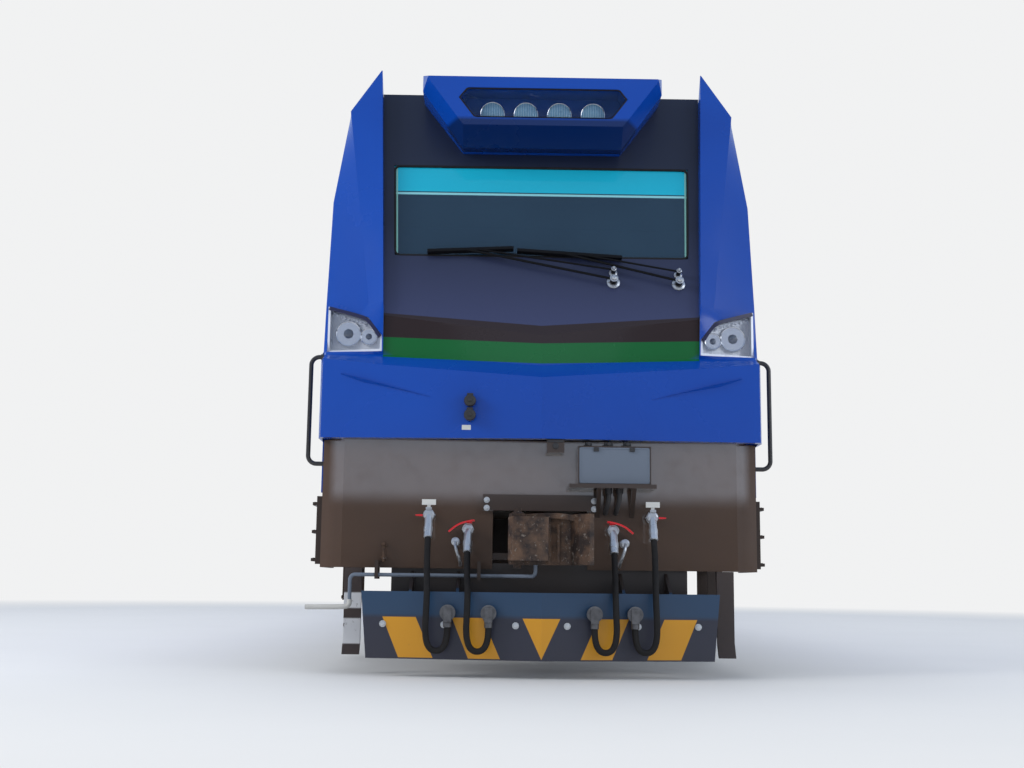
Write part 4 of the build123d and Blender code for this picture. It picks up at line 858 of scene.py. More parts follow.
for end, spread in (("a", "a_right"), ("b", "b_right")):
    piece(f"seat_frames_{end}", [seat_frame(-seat_x), seat_frame(seat_x)], spread, "motor_dark",
          instead="seats", bevel=0.004)
    cloth = piece(f"seat_pads_{end}", [seat_pads(-seat_x), seat_pads(seat_x)], spread, "chair_fabric",
                  instead="seats", smooth=60)
    soft = cloth.modifiers.new("soft", "SUBSURF")
    soft.levels = soft.render_levels = 1

# %% [markdown]
# ## Lamps
#
# The solid headlamp is a closed block. A real one is a pocket with two bowls behind a clear cover,
# and it is lofted here from rings of the block's own outline, each ring at an inset and a depth, so
# that the outside stays as it was. Each bowl has a chromed rim, a faceted reflector and a projector
# lens, small running lights follow the upper edge, and a lip shades the whole from above; the lip is
# painted near-black navy as painted shade for the underside of the overhang. The four brow lamps are
# cones with domed glasses pressed with upright ribs: the dome's height falls with the square of the
# radius, and the ribs add a cosine across it.

# %% Headlamps
lamp_length, pocket = 0.11, 0.085
lamp_corners = np.array([(1.14, 2.248), (1.14, 2.358), (1.246, 2.495), (1.545, 2.59), (1.545, 2.248)])
lamp_bowls = ((1.395, 2.392, 0.088), (1.243, 2.365, 0.056))


def lamp_depth(x):
    """Depth of the lamp's slanting face behind the front plane."""
    return 0.075 + 0.284 * (x - 1.14)


def inset(corners, distance):
    """Each corner moves along both neighbouring edges, so that every edge moves in evenly."""
    ahead = unit(np.roll(corners, -1, axis=0) - corners)
    behind = unit(np.roll(corners, 1, axis=0) - corners)
    sine = np.abs(ahead[:, :1] * behind[:, 1:] - ahead[:, 1:] * behind[:, :1])
    return corners + (ahead + behind) * distance / sine


def lamp_rings(*rows):
    """Rings of the lamp's outline, each at an inset and a depth behind the slanting face."""
    outlines = [(inset(lamp_corners, margin).T, depth) for margin, depth in rows]
    return lofted([np.column_stack([x, lamp_depth(x) + depth, z]) for (x, z), depth in outlines])


def bowl_parts(x, z, radius):
    """Rim, faceted reflector (its radius swells twelve times a turn) and the domed projector lens."""
    place = np.array((x, lamp_depth(x) + pocket - 0.04, z))
    steps = [(0.002, -0.004), (-0.004, -0.002), (-0.006, 0.002), (-0.002, 0.006), (0.04, 0.006),
             (0.04, -0.004)]
    rim = turned([(along, radius + more) for along, more in steps], 40, place, inward)
    points, faces = turned([(0.001, radius - 0.009), (0.012, radius * 0.8), (0.022, radius * 0.62),
                            (0.024, radius * 0.45), (0.026, radius * 0.3)], 48, axis=inward)
    swell = 1 - 0.035 * np.cos(12 * np.arctan2(points[:, 2], points[:, 0])) ** 2
    points = points * np.column_stack([swell, np.ones_like(swell), swell]) + place
    wide = radius * 0.43
    curve = [(0.012 - 0.026 * np.sin(a), wide * np.cos(a) + 0.001) for a in np.linspace(0, np.pi / 2, 8)]
    return rim, (points, faces), turned([(0.02, wide)] + curve, 28, place, inward)


lens = Finish("projector_lens")
ripples = lens.noise(20.0, 2)
lens.surface(Base_Color=lens.mix(ripples, (0.05, 0.06, 0.09), (0.14, 0.17, 0.24)), IOR=1.8,
             Roughness=0.04 + ripples * 0.03)

housing = lamp_rings((0.0, lamp_length), (0.0, 0.0), (0.016, 0.0), (0.016, pocket))
cover = lamp_rings((0.0163, 0.006), (0.0163, 0.012))
piece("headlamp_housings", [housing], "corners", "lamp_lens", instead="lamps")
piece("headlamp_covers", [cover], "corners", "tinted_glass", instead="lamps")
for name, forms, finish in zip(("headlamp_rims", "headlamp_reflectors", "headlamp_lenses"),
                               zip(*[bowl_parts(*row) for row in lamp_bowls]),
                               ("chrome", "chrome", "projector_lens")):
    piece(name, forms, "corners", finish)


def bar_place(x, depth):
    return x, lamp_depth(x) + depth, 2.466 + (x - 1.275) * 0.31


small_lights = [turned([(0, 0.01), (-0.01, 0.01), (-0.015, 0.006)], 12, bar_place(x, 0.074), inward)
                for x in np.linspace(1.275, 1.515, 9)]
bar = swept([bar_place(x, 0.078) for x in np.linspace(1.262, 1.526, 5)], oblong(0.014, 0.03))
piece("running_lights", [bar, *small_lights], "corners", "lamp_lens")

# The lip bar is painted near-black navy as painted shade.
lip_line = [(1.534, 2.574), (1.42, 2.54), (1.33, 2.512), (1.258, 2.486), (1.205, 2.425), (1.158, 2.352)]
lip_path = bowed([(x, lamp_depth(x) - 0.006, z) for x, z in lip_line], 5)
piece("headlamp_lips", [swept(lip_path, oblong(0.026, 0.03), up=outward)], "corners", "shaded_lip_navy",
      bevel=0.003)

# %% Brow lamps
dome_radius, dome_height, rib_height, rib_pitch = 0.086, 0.022, 0.0022, 0.019
brow_places = [(x, 0.228, 4.092) for x in (-0.3765, -0.1255, 0.1255, 0.3765)]
curve = [(-dome_height * (1 - (r / dome_radius) ** 2) - 0.002, r)
         for r in np.linspace(dome_radius, 0.0, 14)[:-1]]
points, faces = turned([(-0.0005, dome_radius)] + curve, 44, axis=inward)
points[:, 1] += rib_height * np.cos(points[:, 0] * 2 * np.pi / rib_pitch)
cone = turned([(0.102, 0.056), (0.012, 0.094), (0.0, 0.094)], 36, axis=inward)
rim = turned([(0.0, 0.086), (-0.006, 0.086), (-0.008, 0.09), (-0.004, 0.094), (0.0, 0.094)], 36, axis=inward)
piece("brow_lamp_bodies", [copied(cone, brow_places)], "ends", "chrome", instead="lamps")
piece("brow_lamp_glasses", [copied((points, faces), brow_places)], "ends", "lamp_lens", smooth=70)
piece("brow_lamp_rims", [copied(rim, brow_places)], "ends", "chrome")

# %% [markdown]
# ## Seals, wiper hubs and small front fittings
#
# Every pane sits in a black rubber seal, which is one section carried round a rounded loop. The
# screen's loop lies in the mask's plane, whose depth grows evenly with height. The wiper spindles
# end in bright caps, square to that plane.

# %% Seals
side_x, mask_lean = 1.57, 0.2884
mask_out = unit((0, -1, mask_lean))


def on_mask(x, z, off):
    """A point of the mask's plane, moved out from it."""
    return np.array((x, 0.042 + (z - 2.445) * mask_lean, z)) + mask_out * off


def ring(corners, radius, width, height, up):
    """A closed bar of the given section round a loop with rounded corners."""
    return swept(rounded_loop(corners, radius), oblong(width, height), up, closed=True)


def side_loop(x, *limits):
    return [(x, y, z) for y, z in box_outline(*limits)]


screen = [(-1.074, 2.989), (1.074, 2.989), (1.111, 3.741), (-1.111, 3.741)]
screen_ring = ring([on_mask(x, z, -0.006) for x, z in screen], 0.045, 0.014, 0.016, mask_out)
window = [(0.57, 4.252), (0.628, 4.178), (0.514, 4.029), (-0.514, 4.029), (-0.628, 4.178), (-0.57, 4.252)]
brow_ring = ring([(x * 0.992, 0.125, z) for x, z in window], 0.02, 0.012, 0.01, outward)
piece("screen_seals", [screen_ring, brow_ring], "ends", "hose_rubber", bevel=0.002)
side_ring = ring(side_loop(side_x + 0.001, 0.722, 1.348, 2.562, 3.278), 0.05, 0.03, 0.01, aside)
bar = slab(side_x - 0.034, side_x - 0.012, 1.02, 1.044, 2.565, 3.275)
piece("side_window_seals", [side_ring, bar], "corners", "hose_rubber", bevel=0.002)

# %% Wiper hubs and socket lids
hubs = []
for x, z, r in ((0.521, 2.787, 0.024), (0.521, 2.862, 0.015), (0.995, 2.779, 0.024), (0.995, 2.854, 0.015)):
    cap = [(0.0, r * 1.25), (0.006, r * 1.25), (0.008, r), (0.018, r * 0.9), (0.026, r * 0.5)]
    flange = [(0.0, r * 2.0), (0.008, r * 2.0), (0.014, r * 1.4), (0.02, r * 1.3)]
    hubs += [turned(cap, 18, on_mask(x, z, 0.067), mask_out),
             turned(flange, 20, on_mask(x, z, 0.0005), mask_out)]
piece("wiper_caps", hubs, "ends", "valve_silver")

cover = turned([(0.0, 0.04), (-0.012, 0.04), (-0.018, 0.03), (-0.02, 0.014), (-0.032, 0.014),
                (-0.036, 0.008)], 24, axis=inward)
hinge = slab(-0.022, 0.022, -0.006, 0.04, 0.038, 0.05)
piece("socket_lids", [copied(joined(cover, hinge), [(-0.5, -0.126, z) for z in (1.772, 1.872)])], "ends",
      "motor_dark", bevel=0.002)

# %% [markdown]
# ## Around the coupler
#
# The end of a locomotive is where people work, so it is crowded: bright bolt pairs beside the
# striker, red cock handles, blank plates that would say what each hose is for, a pale door on the
# jumper box, and pale bolts along the plough. The guard posts by the rails have a dark band, and are
# painted pale only on the lit side: their other side and their tops under the apron are painted
# shade. A thin fin runs under each headlamp.

# %% Fins and guard posts
sections = []
for x, z, share in ((1.415, 2.07, 0.4), (1.245, 2.026, 1.0), (0.772, 1.904, 0.08)):
    nose = 0.07 * x / mask_half - 0.1 if x < mask_half else -0.03 * (1.545 - x) / (1.545 - mask_half)
    sections.append([(x, nose + 0.015, z), (x, nose - 0.026 * share, z - 0.003),
                     (x, nose + 0.015, z - 0.036 * share)])
piece("nose_fins", [lofted(sections)], "corners", "body_blue", smooth=20)

post = Finish("post_paint")
x, y, z = post.xyz()
# Painted shade: only the lit side of each post is pale, and its top under the apron stays dark.
pale_where_lit = (x * y.maths("SIGN", y)).past(0.0) & z.within(0.2, 0.545, 0.01) & (1 - z.within(0.37, 0.44, 0.01))
scuffs = post.noise(24.0, 6, 0.7)
dark_and_shade = post.mix(scuffs, (0.03, 0.02, 0.018), (0.06, 0.042, 0.036))
post.surface(Base_Color=post.mix(pale_where_lit * scuffs.past(0.36, 0.1), dark_and_shade, (0.56, 0.57, 0.6)),
             Roughness=0.45 + scuffs * 0.3, Normal=post.bump(scuffs, 0.001, 0.4))
guard = prism([(0.05, 0.716), (0.115, 0.716), (0.075, 0.557), (0.075, 0.219), (0.02, 0.129), (-0.005, 0.129),
               (0.05, 0.229)], 1.23, 1.35)
piece("guard_posts", [guard], "corners", "post_paint", bevel=0.003)

# %% Bolts, jumper box and brackets
striker_bolts = copied(bolt(0.015, outward), [(x, 0.0095, z) for x in (-0.374, 0.374)
                                              for z in (1.137, 1.192)])
plough_bolts = copied(bolt(0.016, outward), [(s * x, plough_depth(x) - 0.001, 0.345) for s in (-1, 1)
                                             for x in (1.054, 0.645, 0.17)])
piece("end_bolts", [striker_bolts, plough_bolts], "ends", "bolt_pale")

door_y = -0.0925
frame_loop = [(x, door_y - 0.004, z) for x, z in box_outline(0.268, 0.746, 1.314, 1.553)]
piece("jumper_door", [slab(0.264, 0.75, door_y - 0.004, door_y, 1.31, 1.557),
                      ring(frame_loop, 0.012, 0.01, 0.006, outward)], "ends", "plate_grey",
      bevel=0.001)
fittings = [slab(0.046, 0.152, -0.086, -0.08, 1.592, 1.606),
            turned([(0, 0.022), (-0.006, 0.022), (-0.01, 0.016)], 20, (0.099, -0.08, 1.566), inward)]
fittings += [slab(x - 0.018, x + 0.018, door_y - 0.016, door_y - 0.003, 1.53, 1.556) for x in (0.38, 0.63)]
for x, wide in ((0.33, 0.045), (0.47, 0.06), (0.6, 0.05)):
    fittings += [slab(x - wide / 2, x + wide / 2, -0.07, -0.01, 1.568, 1.596),
                 turned([(0, 0.014), (-0.03, 0.014), (-0.034, 0.009)], 12, (x, -0.07, 1.582), inward)]
for x in (0.47, 0.545):
    cable = bowed([(x, -0.06, 1.272), (x, -0.07, 1.2), (x * 0.97, -0.02, 1.13), (x * 0.97, 0.05, 1.11)])
    fittings += [swept(cable, circle(0.017), aside),
                 turned([(0, 0.026), (-0.03, 0.026), (-0.034, 0.02)], 6, (x, -0.06, 1.272))]
piece("jumper_fittings", fittings, "ends", "motor_dark", bevel=0.001)


# %% Cocks, their handles and blank plates
def at_cocks(x, z, *forms):
    """Forms made about the left-hand cock of a pair, set there and mirrored to the right-hand one."""
    form = joined(*forms)
    return joined(*[copied(flipped(form, side, 1), [(-side * x, 0, z)]) for side in (1, -1)])


nuts = [turned([(0.0, r), (0.009, r), (0.012, r - 0.006)], 6, (0, y, 0), outward)
        for y, r in ((-0.028, 0.043), (0.05, 0.034), (-0.096, 0.036))]
tail = turned([(-0.05, 0.031), (-0.012, 0.031), (-0.01, 0.029), (0.03, 0.029), (0.034, 0.0225)], 14,
              (0, -0.14, -0.13), (0, -0.07, -0.15))
lever = bowed([(0.01, -0.12, 0.046), (0.05, -0.138, 0.06), (-0.06, -0.144, 0.036), (-0.13, -0.146, -0.022)])
lever_boss = turned([(0, 0.02), (0.012, 0.02), (0.014, 0.012)], 14, (0.01, -0.12, 0.036))
pin = turned([(0, 0.007), (0.02, 0.007), (0.05, 0.005)], 10, (-0.04, -0.11, -0.006), (-1, 0, 0))
small_cock = turned([(0.0, 0.03), (-0.03, 0.03), (-0.036, 0.024), (-0.08, 0.024), (-0.084, 0.03),
                     (-0.096, 0.03), (-0.1, 0.02)], 18, (-0.085, 0.049, -0.085), inward)
small_pipe = swept(bowed([(-0.085, -0.04, -0.085), (-0.085, -0.07, -0.125), (-0.051, -0.06, -0.215),
                          (-0.051, 0.05, -0.245)]), circle(0.011), aside)
neck = slab(-0.02, 0.02, -0.124, -0.096, 0.034, 0.05)
plate, stem = slab(-0.048, 0.048, -0.104, -0.1, 0.066, 0.104), slab(-0.012, 0.012, -0.1, -0.096, 0.03, 0.1)
inner, outer = (0.5, 0.985), (0.77, 1.08)
piece("cock_handles", [at_cocks(*inner, swept(lever, oblong(0.012, 0.028), outward), lever_boss),
                       at_cocks(*outer, pin)], "ends", "handle_red", bevel=0.001)
piece("blank_plates", [slab(-0.555, -0.445, -0.0695, -0.06, 1.672, 1.706), at_cocks(*outer, plate, stem)],
      "ends", "post_white")
piece("valve_fittings", [at_cocks(*inner, small_cock, small_pipe, tail, *nuts),
                         at_cocks(*outer, neck, tail, *nuts)], "ends", "valve_silver", bevel=0.0008)

# %% Lever handle, lamp iron and coupler details
lever = bowed([(x, -0.06, z) for x, z in ((-1.3, 0.5), (-1.3, 0.462), (-1.33, 0.448), (-1.6, 0.446))])
piece("lever_sleeve", [swept(lever, circle(0.017, 12), inward)], "ends", "post_white")
iron = [slab(-1.1, -1.064, 0.01, 0.049, z, z + 0.016) for z in (0.778, 0.868)]
iron += [slab(-1.09, -1.074, 0.004, 0.014, 0.758, 0.888),
         turned([(0, 0.012), (-0.016, 0.012), (-0.018, 0.008)], 6, (-1.082, 0.006, 0.878), inward)]
piece("lamp_irons", iron, "ends", "coupler_rust", bevel=0.002)

ridge = bowed([(0.232, -0.47, 1.04), (0.15, -0.455, 1.062), (0.02, -0.41, 1.066), (-0.15, -0.4, 1.052)])
head = [turned([(0.0, 0.04), (0.01, 0.04), (0.016, 0.03)], 18, (-0.165, -0.452, 1.07)),
        swept(ridge, oblong(0.03, 0.036))]
head += [slab(x - 0.008, x + 0.008, -0.425, -0.395, 0.76, 1.01) for x in np.linspace(-0.02, 0.17, 4)]
head += [turned([(0.0, 0.024), (0.012, 0.024), (0.016, 0.016)], 6, (s * 0.083, -0.18, z), (s, 0, 0))
         for s in (-1, 1) for z in (0.82, 0.96)]
piece("coupler_details", head, "ends", "coupler_rust", bevel=0.003)

# %% [markdown]
# ## Cab doors
#
# Each cab door carries its own pane, seal, handle and kick plate, and they ride on the door's body,
# so that they swing with it. The pieces are worked out once for the right-hand door of the A end.
# The other three are that form mirrored or turned half round.

# %% Doors
skin, near, far, sill, head_z = 1.562, 1.716, 2.094, 2.56, 3.28
grip_y, grip_z = 1.64, 2.335
pane = slab(1.534, 1.541, near + 0.001, far - 0.001, sill + 0.001, head_z - 0.001)
edge = side_loop(skin, near + 0.006, far - 0.006, sill + 0.006, head_z - 0.006)
seal = ring(edge, 0.05, 0.026, 0.01, aside)
drip = slab(skin - 0.001, skin + 0.006, 1.585, 2.225, 3.34, 3.352)
grip = swept(bowed([(skin - 0.002, grip_y, grip_z), (skin + 0.03, grip_y, grip_z),
                    (skin + 0.034, grip_y + 0.02, grip_z), (skin + 0.032, grip_y + 0.11, grip_z - 0.005)]),
             circle(0.009))
rose = turned([(0, 0.028), (0.006, 0.028), (0.009, 0.02)], 20, (skin, grip_y, grip_z), aside)
lock = turned([(0, 0.016), (0.005, 0.016), (0.007, 0.01)], 14, (skin, grip_y, grip_z - 0.1), aside)
kick = slab(skin, skin + 0.002, 1.6, 2.2, 1.735, 1.9)
for door in ("a_right", "a_left", "b_right", "b_left"):
    for name, forms, finish, slot in (("pane", [pane], "tinted_glass", None),
                                      ("seal", [seal, drip], "hose_rubber", "wiper_black"),
                                      ("grip", [grip, rose, lock], "valve_silver", None),
                                      ("kick", [kick], "bolt_pale", "valve_silver")):
        piece(f"door_{name}_{door}", forms, door, finish, f"door_{door}")

# %% [markdown]
# ## Side walls
#
# The long side is plates on a frame. Upright straps cover the joints between the plates, with two
# rows of rivet heads on each, a gutter runs under the roof edge, and a rail finishes the skirt. At
# each cab a blank plate sits where a number would be. Hatches in the skirt have round locks.

# %% Straps, gutter, plates, louvre bolts and hatches
bay = 1.56
strap_ys = (np.arange(9) - 4) * bay
piece("joint_straps", [copied(slab(side_x - 0.001, side_x + 0.003, -0.032, 0.032, 1.262, 3.44),
                              [(0, y, 0) for y in strap_ys])], "sides", "body_blue", bevel=0.0008)
rivet = turned([(0, 0.007), (0.0025, 0.0055), (0.0035, 0.003)], 8, axis=aside)
rivet_places = [(side_x + 0.0028, y + shift, z) for y in strap_ys for shift in (-0.02, 0.02)
                for z in np.arange(1.3, 3.42, 0.085)]
piece("strap_rivets", [copied(rivet, rivet_places)], "sides", "body_blue")

channel = [(-0.012, -0.01), (-0.012, 0.016), (-0.008, 0.016), (-0.008, -0.004), (0.01, -0.004), (0.01, -0.01)]
gutter = swept([(side_x - 0.036, y, 3.748) for y in np.linspace(-8.03, 8.03, 5)], channel)
skirt = swept([(side_x + 0.002, y, 1.268) for y in np.linspace(-9.55, 9.55, 5)], oblong(0.01, 0.03))
piece("roof_gutters", [gutter, skirt], "sides", "motor_dark", bevel=0.001)

studs = copied(bolt(0.006, aside), [(side_x + 0.003, y, z) for y in (0.82, 1.26) for z in (2.365, 2.445)])
number_plate = slab(side_x - 0.0005, side_x + 0.0035, 0.8, 1.28, 2.345, 2.465)
piece("blank_side_plates", [number_plate, studs], "corners", "bolt_pale")

louvre_half = 0.625
fixings = [(y, z) for y in np.linspace(-louvre_half, louvre_half, 8) for z in (2.714, 3.386)]
fixings += [(y, z) for y in (-louvre_half, louvre_half) for z in np.linspace(2.715, 3.385, 5)[1:-1]]
bank = copied(bolt(0.0055, aside), [(side_x + 0.0058, y, z) for y, z in fixings])
piece("louvre_bolts", [copied(bank, [(0, k * bay, 0) for k in np.arange(8) - 3.5])], "sides", "motor_dark")

hatch_places = [(0, y, 0) for y in (-6.3, -3.1, 0.02, 3.14, 6.26)]
hatch = prism(rounded_loop(box_outline(-0.27, 0.27, 1.38, 1.8), 0.04), side_x - 0.001, side_x + 0.005)
locks = [turned([(0, 0.017), (0.006, 0.017), (0.008, 0.011)], 16, (side_x + 0.004, y, 1.59), aside)
         for y in (-0.19, 0.19)]
locks += [turned([(-0.03, 0.007), (0.03, 0.007)], 10, (side_x + 0.006, y, 1.812), inward)
          for y in (-0.16, 0.16)]
piece("side_hatches", [copied(hatch, hatch_places)], "sides", "body_blue", bevel=0.002)
piece("hatch_locks", [copied(joined(*locks), hatch_places)], "sides", "valve_silver")

# %% [markdown]
# ## Steps and rails
#
# A tread is punched so that a boot grips it: rows of small teeth stand on it, each a cut cone. The
# grab rails end in round flanges with bolts.

# %% Treads and flanges
tooth = turned([(0, 0.007), (0.004, 0.005)], 6)
pitch = 0.028
treads = [copied(tooth, [(x, y, z) for y in np.arange(y0 + 0.014, y1, pitch)
                         for x in np.arange(x0 + 0.012, x1, pitch)])
          for x0, x1, y0, y1, zs in ((1.55, 1.628, 0.36, 0.64, (0.7815, 0.9815, 1.1815)),
                                     (1.43, 1.556, 1.66, 2.16, (0.5035, 0.7635, 1.0235))) for z in zs]
piece("tread_teeth", treads, "corners", "rail_steel")
flange = turned([(-0.0005, 0.034), (0.008, 0.034), (0.012, 0.024), (0.024, 0.02)], 18, axis=aside)
pair = copied(bolt(0.0045, aside), [(0.0075, 0, -0.027), (0.0075, 0, 0.027)])
rail_ends = [(side_x, y, z) for y, z in ((0.24, 2.226), (1.5, 1.42), (1.5, 2.7), (2.37, 1.42),
                                         (2.37, 2.7))]
piece("rail_flanges", [copied(joined(flange, pair), rail_ends)], "corners", "rail_steel")

# %% [markdown]
# ## Bogies
#
# An axle box is closed by a round cap with six bolts. Each axle has a brake unit on one side: an arm
# hung from the transom, its cylinder, and a shoe whose face is an arc a few millimetres clear of the
# tread. Sand boxes stand on the beam's ends and lead a pipe to the outer wheels, and a brake pipe
# runs along each beam in clamps. All of it rides with the bogie when it swivels.

# %% Caps, brake units and sand boxes
def brake_unit(axle, toward, transom):
    """Shoe as an arc band round the axle, slanting arm, and the cylinder through the transom."""
    reach = np.linspace(-0.1, 0.24, 9)
    inner_arc, outer_arc = (np.column_stack([axle + toward * np.sqrt(r ** 2 - reach ** 2), axle_z + reach])
                            for r in (0.633, 0.688))
    shoe = prism(np.concatenate([inner_arc, outer_arc[::-1]]), 0.73, 0.808)
    back, face = axle + toward * 0.663, transom - toward * 0.129
    arm = prism([(back, 0.673), (back, 0.783), (face, 0.983), (face, 0.803)], 0.748, 0.79)
    cylinder = turned([(0.0, 0.062), (0.105, 0.062), (0.118, 0.048), (0.128, 0.02)], 20, (0.769, face, 0.903),
                      (0, -toward * 0.12, -0.045))
    return joined(shoe, arm, cylinder)


axles = [(0, y, axle_z) for y in (-axle_pitch, 0, axle_pitch)]
cap = turned([(1.164, 0.13), (1.188, 0.13), (1.194, 0.122), (1.196, 0.078), (1.203, 0.07), (1.205, 0.03)], 32,
             axis=aside)
cap_bolts = copied(bolt(0.011, aside), [(1.1945, *at) for at in circle(0.102, 6)])
units = [brake_unit(*row) for row in ((-axle_pitch, 1, -axle_pitch / 2), (0.0, 1, axle_pitch / 2),
                                      (axle_pitch, -1, axle_pitch / 2))]
hopper = prism([(2.7, 0.95), (2.78, 0.84), (2.85, 0.84), (2.93, 0.95), (2.93, 1.11), (2.7, 1.11)],
               1.144, 1.234)
sand_pipe = swept(bowed([(1.19, 2.815, 0.85), (1.19, 2.815, 0.52), (0.76, 2.795, 0.33),
                         (0.746, axle_pitch + 0.42, 0.1)]), circle(0.016), inward)
sand_box = joined(hopper, slab(1.15, 1.238, 2.694, 2.936, 1.109, 1.121), sand_pipe)
pipe_x, pipe_z = 1.16, 1.078
pipes = [swept([(pipe_x, y, pipe_z) for y in np.linspace(-2.55, 2.55, 9)], circle(0.011))]
pipes += [slab(1.144, 1.176, y - 0.02, y + 0.02, pipe_z - 0.018, pipe_z + 0.016)
          for y in (-2.45, -1.5, -0.6, 0.6, 1.5, 2.45)]
pipes += [turned([(-0.026, 0.019), (0.026, 0.019)], 6, (pipe_x, y, pipe_z), inward)
          for y in (-1.1, 0.02, 1.1)]
for end in "ab":
    for name, forms, finish, slot, bevel in (
            ("axle_caps", [copied(cap, axles)], "bogie_grey", "bogie_grey", 0),
            ("cap_bolts", [copied(cap_bolts, axles)], "bolt_pale", "bogie_grey", 0),
            ("brake_units", units, "bogie_grey", "bogie_grey", 0),
            ("sand_boxes", [sand_box, flipped(sand_box, 1, -1)], "bogie_grey", "bogie_grey", 0.002),
            ("brake_pipes", pipes, "motor_dark", "motor_dark", 0)):
        piece(f"{name}_{end}", forms, f"bogie_{end}", finish, f"bogie_{end}", bevel=bevel)

# %% [markdown]
# ## Under the floor
#
# The transformer's tank is stiffened by upright ribs. Oil pipes leave it through flanged valves and
# run along its side, and a drain cock hangs under it. Battery boxes have doors with hinges, catches
# and a vent grille of small slats.

# %% Tank and battery box fittings
tank_half, tank_end = 1.19, 1.72
end_ribs = copied(slab(-0.01, 0.01, -0.041, 0.001, 0.43, 1.38),
                  [(x, -tank_end, 0) for x in np.arange(0.11, 1.1, 0.215)])
tank = [copied(slab(-0.001, 0.035, -0.01, 0.01, 0.43, 1.02), [(tank_half, y, 0)
                                                                 for y in np.arange(-1.505, 1.51, 0.215)]),
        end_ribs, flipped(end_ribs, 1, -1)]
valve_ring = turned([(0, 0.045), (0.012, 0.045), (0.012, 0.03), (0.03, 0.028)], 16, axis=aside)
for z, reach in ((1.18, 1.3), (1.06, 1.1)):
    route = [(1.18, -reach), (1.25, -reach), (1.254, -reach + 0.1), (1.254, 0), (1.254, reach - 0.1),
             (1.25, reach), (1.18, reach)]
    tank += [swept(bowed([(x, y, z) for x, y in route], 5), circle(0.021, 10)),
             copied(valve_ring, [(tank_half, -reach, z), (tank_half, reach, z)])]
tank += [turned([(-0.02, 0.03), (0.02, 0.03)], 14, (tank_half, y, 1.32), inward) for y in (-1.45, 1.45)]
drain = turned([(0, 0.03), (-0.035, 0.03), (-0.04, 0.018), (-0.075, 0.018)], 12, (0.4, 0.6, 0.381))
tank = joined(*tank)
piece("tank_fittings", [tank, flipped(tank, -1, 1), drain], "once", "motor_dark", bevel=0.001)

battery_door = [slab(1.4895, 1.494, -0.115, 0.115, 0.68, 1.225), slab(1.493, 1.508, -0.016, 0.016, 1.13, 1.2)]
battery_door += [slab(1.493, 1.5, -0.045, 0.045, z, z + 0.012) for z in np.arange(0.74, 0.9, 0.026)]
battery_door += [turned([(-0.03, 0.009), (0.03, 0.009)], 10, (1.496, y, 0.678), inward)
                 for y in (-0.075, 0.075)]
piece("battery_fittings", [copied(joined(*battery_door), [(0, y, 0) for y in (-2.16, -1.91, 1.91, 2.16)])],
      "sides", "rail_steel", bevel=0.001)

# %% [markdown]
# ## Roof
#
# The roof carries what people see from a bridge: lofted hatch lids with bolts round their edges,
# lifting eyes, a walkway of ribbed tread along each side of the bus, two fans in the top of each
# unit, and the last runs of the bus up to the pantographs. A fan is a shroud with twisted blades,
# under a guard of concentric rings.

# %% Hatches, eyes and walkways
roof_z, unit_top, bus_z = 4.12, 4.35, 4.42
lid_places = [(0.65, y, roof_z) for y in (-7.5, -3.45, -1.3, 1.3, 3.45, 7.5)]
lid_places += [(-0.65, y, roof_z) for y in (-7.5, -0.8, 0.8, 7.5)]
# Three rings of a lid: its foot, its edge, and its top drawn in by twenty millimetres
lid = lofted([np.insert(oblong(wide, deep), 2, z, axis=1)
              for wide, deep, z in ((0.8, 0.9, -0.001), (0.8, 0.9, 0.028), (0.76, 0.86, 0.045))])
piece("roof_hatches", [copied(lid, lid_places)], "once", "roof_grey", bevel=0.004)
spots = [(x, y, 0.044) for x in np.linspace(-0.32, 0.32, 5) for y in (-0.41, 0.41)]
spots += [(x, y, 0.044) for x in (-0.36, 0.36) for y in np.linspace(-0.36, 0.36, 5)]
lid_bolts = copied(bolt(0.01, (0, 0, 1)), spots)
piece("hatch_bolts", [copied(lid_bolts, lid_places)], "once", "bolt_pale")

eye_ring = circle(0.032, 13)
eye = swept(np.column_stack([eye_ring[:, 0], np.zeros(13), 0.03 + eye_ring[:, 1]]), circle(0.008, 8), inward,
            closed=True)
eyes = [(x, y, roof_z) for y in (-7.75, -5.1, -2.75, 2.75, 5.1, 7.75) for x in (-1.17, 1.17)]
piece("lifting_eyes", [copied(joined(eye, turned([(-0.001, 0.04), (0.01, 0.04)], 14)), eyes)], "once",
      "rail_steel")

plank = joined(slab(-0.06, 0.06, -2.6, 2.6, -0.001, 0.01),
               copied(slab(-0.05, 0.05, -0.006, 0.006, 0.0095, 0.014),
                      [(0, y, 0) for y in np.arange(-2.55, 2.58, 0.055)]))
piece("roof_walkways", [copied(plank, [(x, 0, roof_z) for x in (-0.165, 0.165)])], "once", "rail_steel")


# %% Fans and the ends of the bus
def fan_blade(angle):
    """A strip from hub to tip whose pitch falls with the radius, turned to its place round the hub."""
    radius = np.linspace(0.065, 0.262, 6)
    pitch = 0.9 - 2.0 * (radius - 0.065)
    cosine, sine = math.cos(angle), math.sin(angle)
    rings = []
    for half, up in ((-0.045, -0.001), (0.045, -0.001), (0.045, 0.001), (-0.045, 0.001)):
        sideways = half * np.cos(pitch)
        rings.append(np.column_stack([radius * cosine - sideways * sine, radius * sine + sideways * cosine,
                                      0.03 + half * np.sin(pitch) * 0.5 + up]))
    return lofted(np.stack(rings, 1))


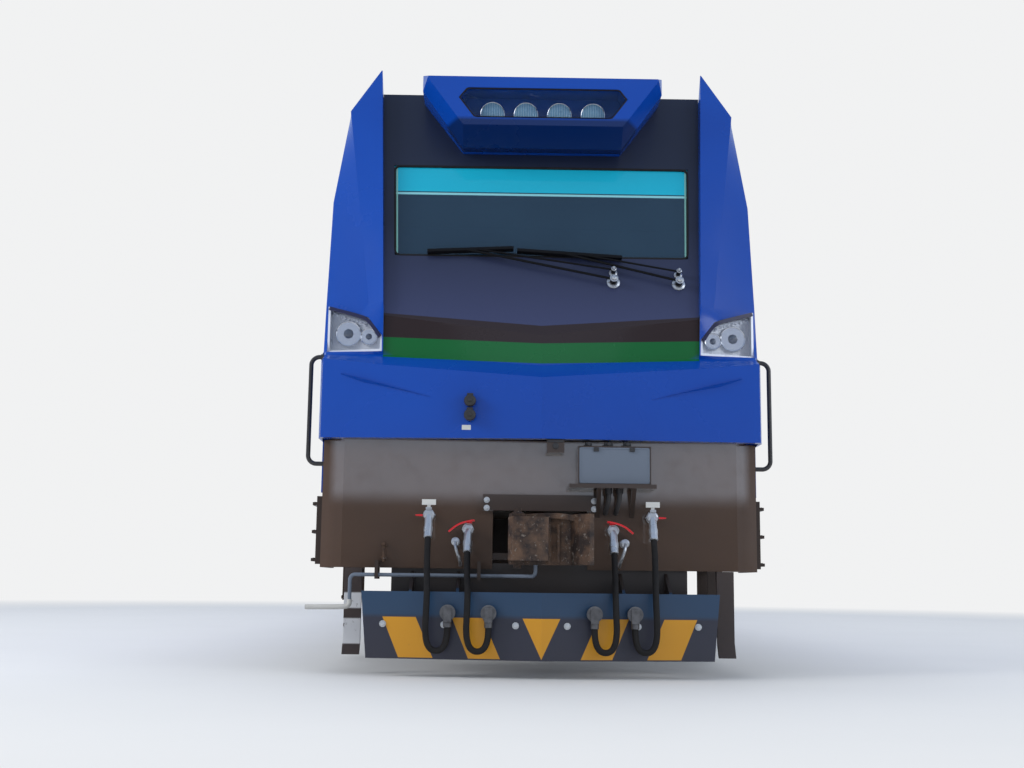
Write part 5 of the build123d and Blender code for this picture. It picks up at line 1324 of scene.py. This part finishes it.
fan_places = [(-0.65, y, unit_top) for y in (-2.95, -2.15, 2.15, 2.95)]
shroud = turned([(-0.001, 0.305), (0.004, 0.305), (0.006, 0.285), (0.062, 0.28), (0.062, 0.27),
                 (0.003, 0.27)], 40)
hub = turned([(-0.001, 0.07), (0.048, 0.07), (0.056, 0.04)], 24)
blades = [fan_blade(a) for a in np.linspace(0, 2 * np.pi, 7, endpoint=False)]
piece("fans", [copied(joined(shroud, hub, *blades), fan_places)], "once", "motor_dark")
guard = [swept(np.insert(circle(radius, 36), 2, 0.066, axis=1), circle(0.0035, 6), closed=True)
         for radius in np.arange(0.05, 0.28, 0.037)]
guard += [slab(-x, x, -y, y, 0.06, 0.064) for x, y in ((0.278, 0.005), (0.005, 0.278))]
piece("fan_guards", [copied(joined(*guard), fan_places)], "once", "rail_steel")

grille = [prism([(-1.051, z + 0.014), (-1.051, z + 0.018), (-1.064, z + 0.004), (-1.064, z)], -0.62, 0.62, 1)
          for z in np.arange(4.165, 4.32, 0.03)]
grille.append(slab(-1.056, -0.244, -0.806, 0.806, 4.343, 4.3505))
unit_places = [(0, -2.55, 0), (0, 2.55, 0)]
piece("unit_grilles", [copied(joined(*grille), unit_places)], "once", "roof_grey", bevel=0.001)

sheds = [(roof_z, 0.045)]
for z in roof_z + 0.073 * np.arange(4):
    sheds += [(z + 0.0256, 0.045), (z + 0.0329, 0.075), (z + 0.0438, 0.045)]
bus = [swept([(0, y, bus_z) for y in (3.895, 4.4, 5.0, 5.625)], circle(0.022, 14)),
       slab(-0.034, 0.034, 5.6, 5.628, 4.396, 4.444), slab(-0.03, 0.03, 3.87, 3.93, 4.394, 4.446),
       slab(-0.04, 0.04, 4.972, 5.028, 4.41, 4.444)]
piece("bus_ends", bus, "halves", "copper")
piece("bus_posts", [turned(sheds + [(4.412, 0.045)], 28, (0, 5.0, 0))], "halves", "insulator_red")

# %% [markdown]
# ## Pantographs
#
# The head's two strips are carbon in a metal carrier, held by small clips. They are added to the
# head's own body, so that they rise and keep level with it.

# %% Carbon strips
for end in "ab":
    box_low, box_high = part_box(f"pantograph_head_{end}")
    top = box_high[2]
    strip_ys = [(box_low[1] + box_high[1]) / 2 + offset for offset in (-0.2, 0.2)]
    bars = [slab(-0.76, 0.76, y - 0.017, y + 0.017, top - 0.003, top) for y in strip_ys]
    clips = [slab(x - 0.012, x + 0.012, y - 0.0215, y + 0.0215, top - 0.03, top - 0.006)
             for y in strip_ys for x in np.linspace(-0.7, 0.7, 8)]
    piece(f"carbon_strips_{end}", bars, "once", "carbon", f"panto_head_{end}")
    piece(f"strip_clips_{end}", clips, "once", "bolt_pale", f"panto_head_{end}")
print("pieces added", len(made), made)
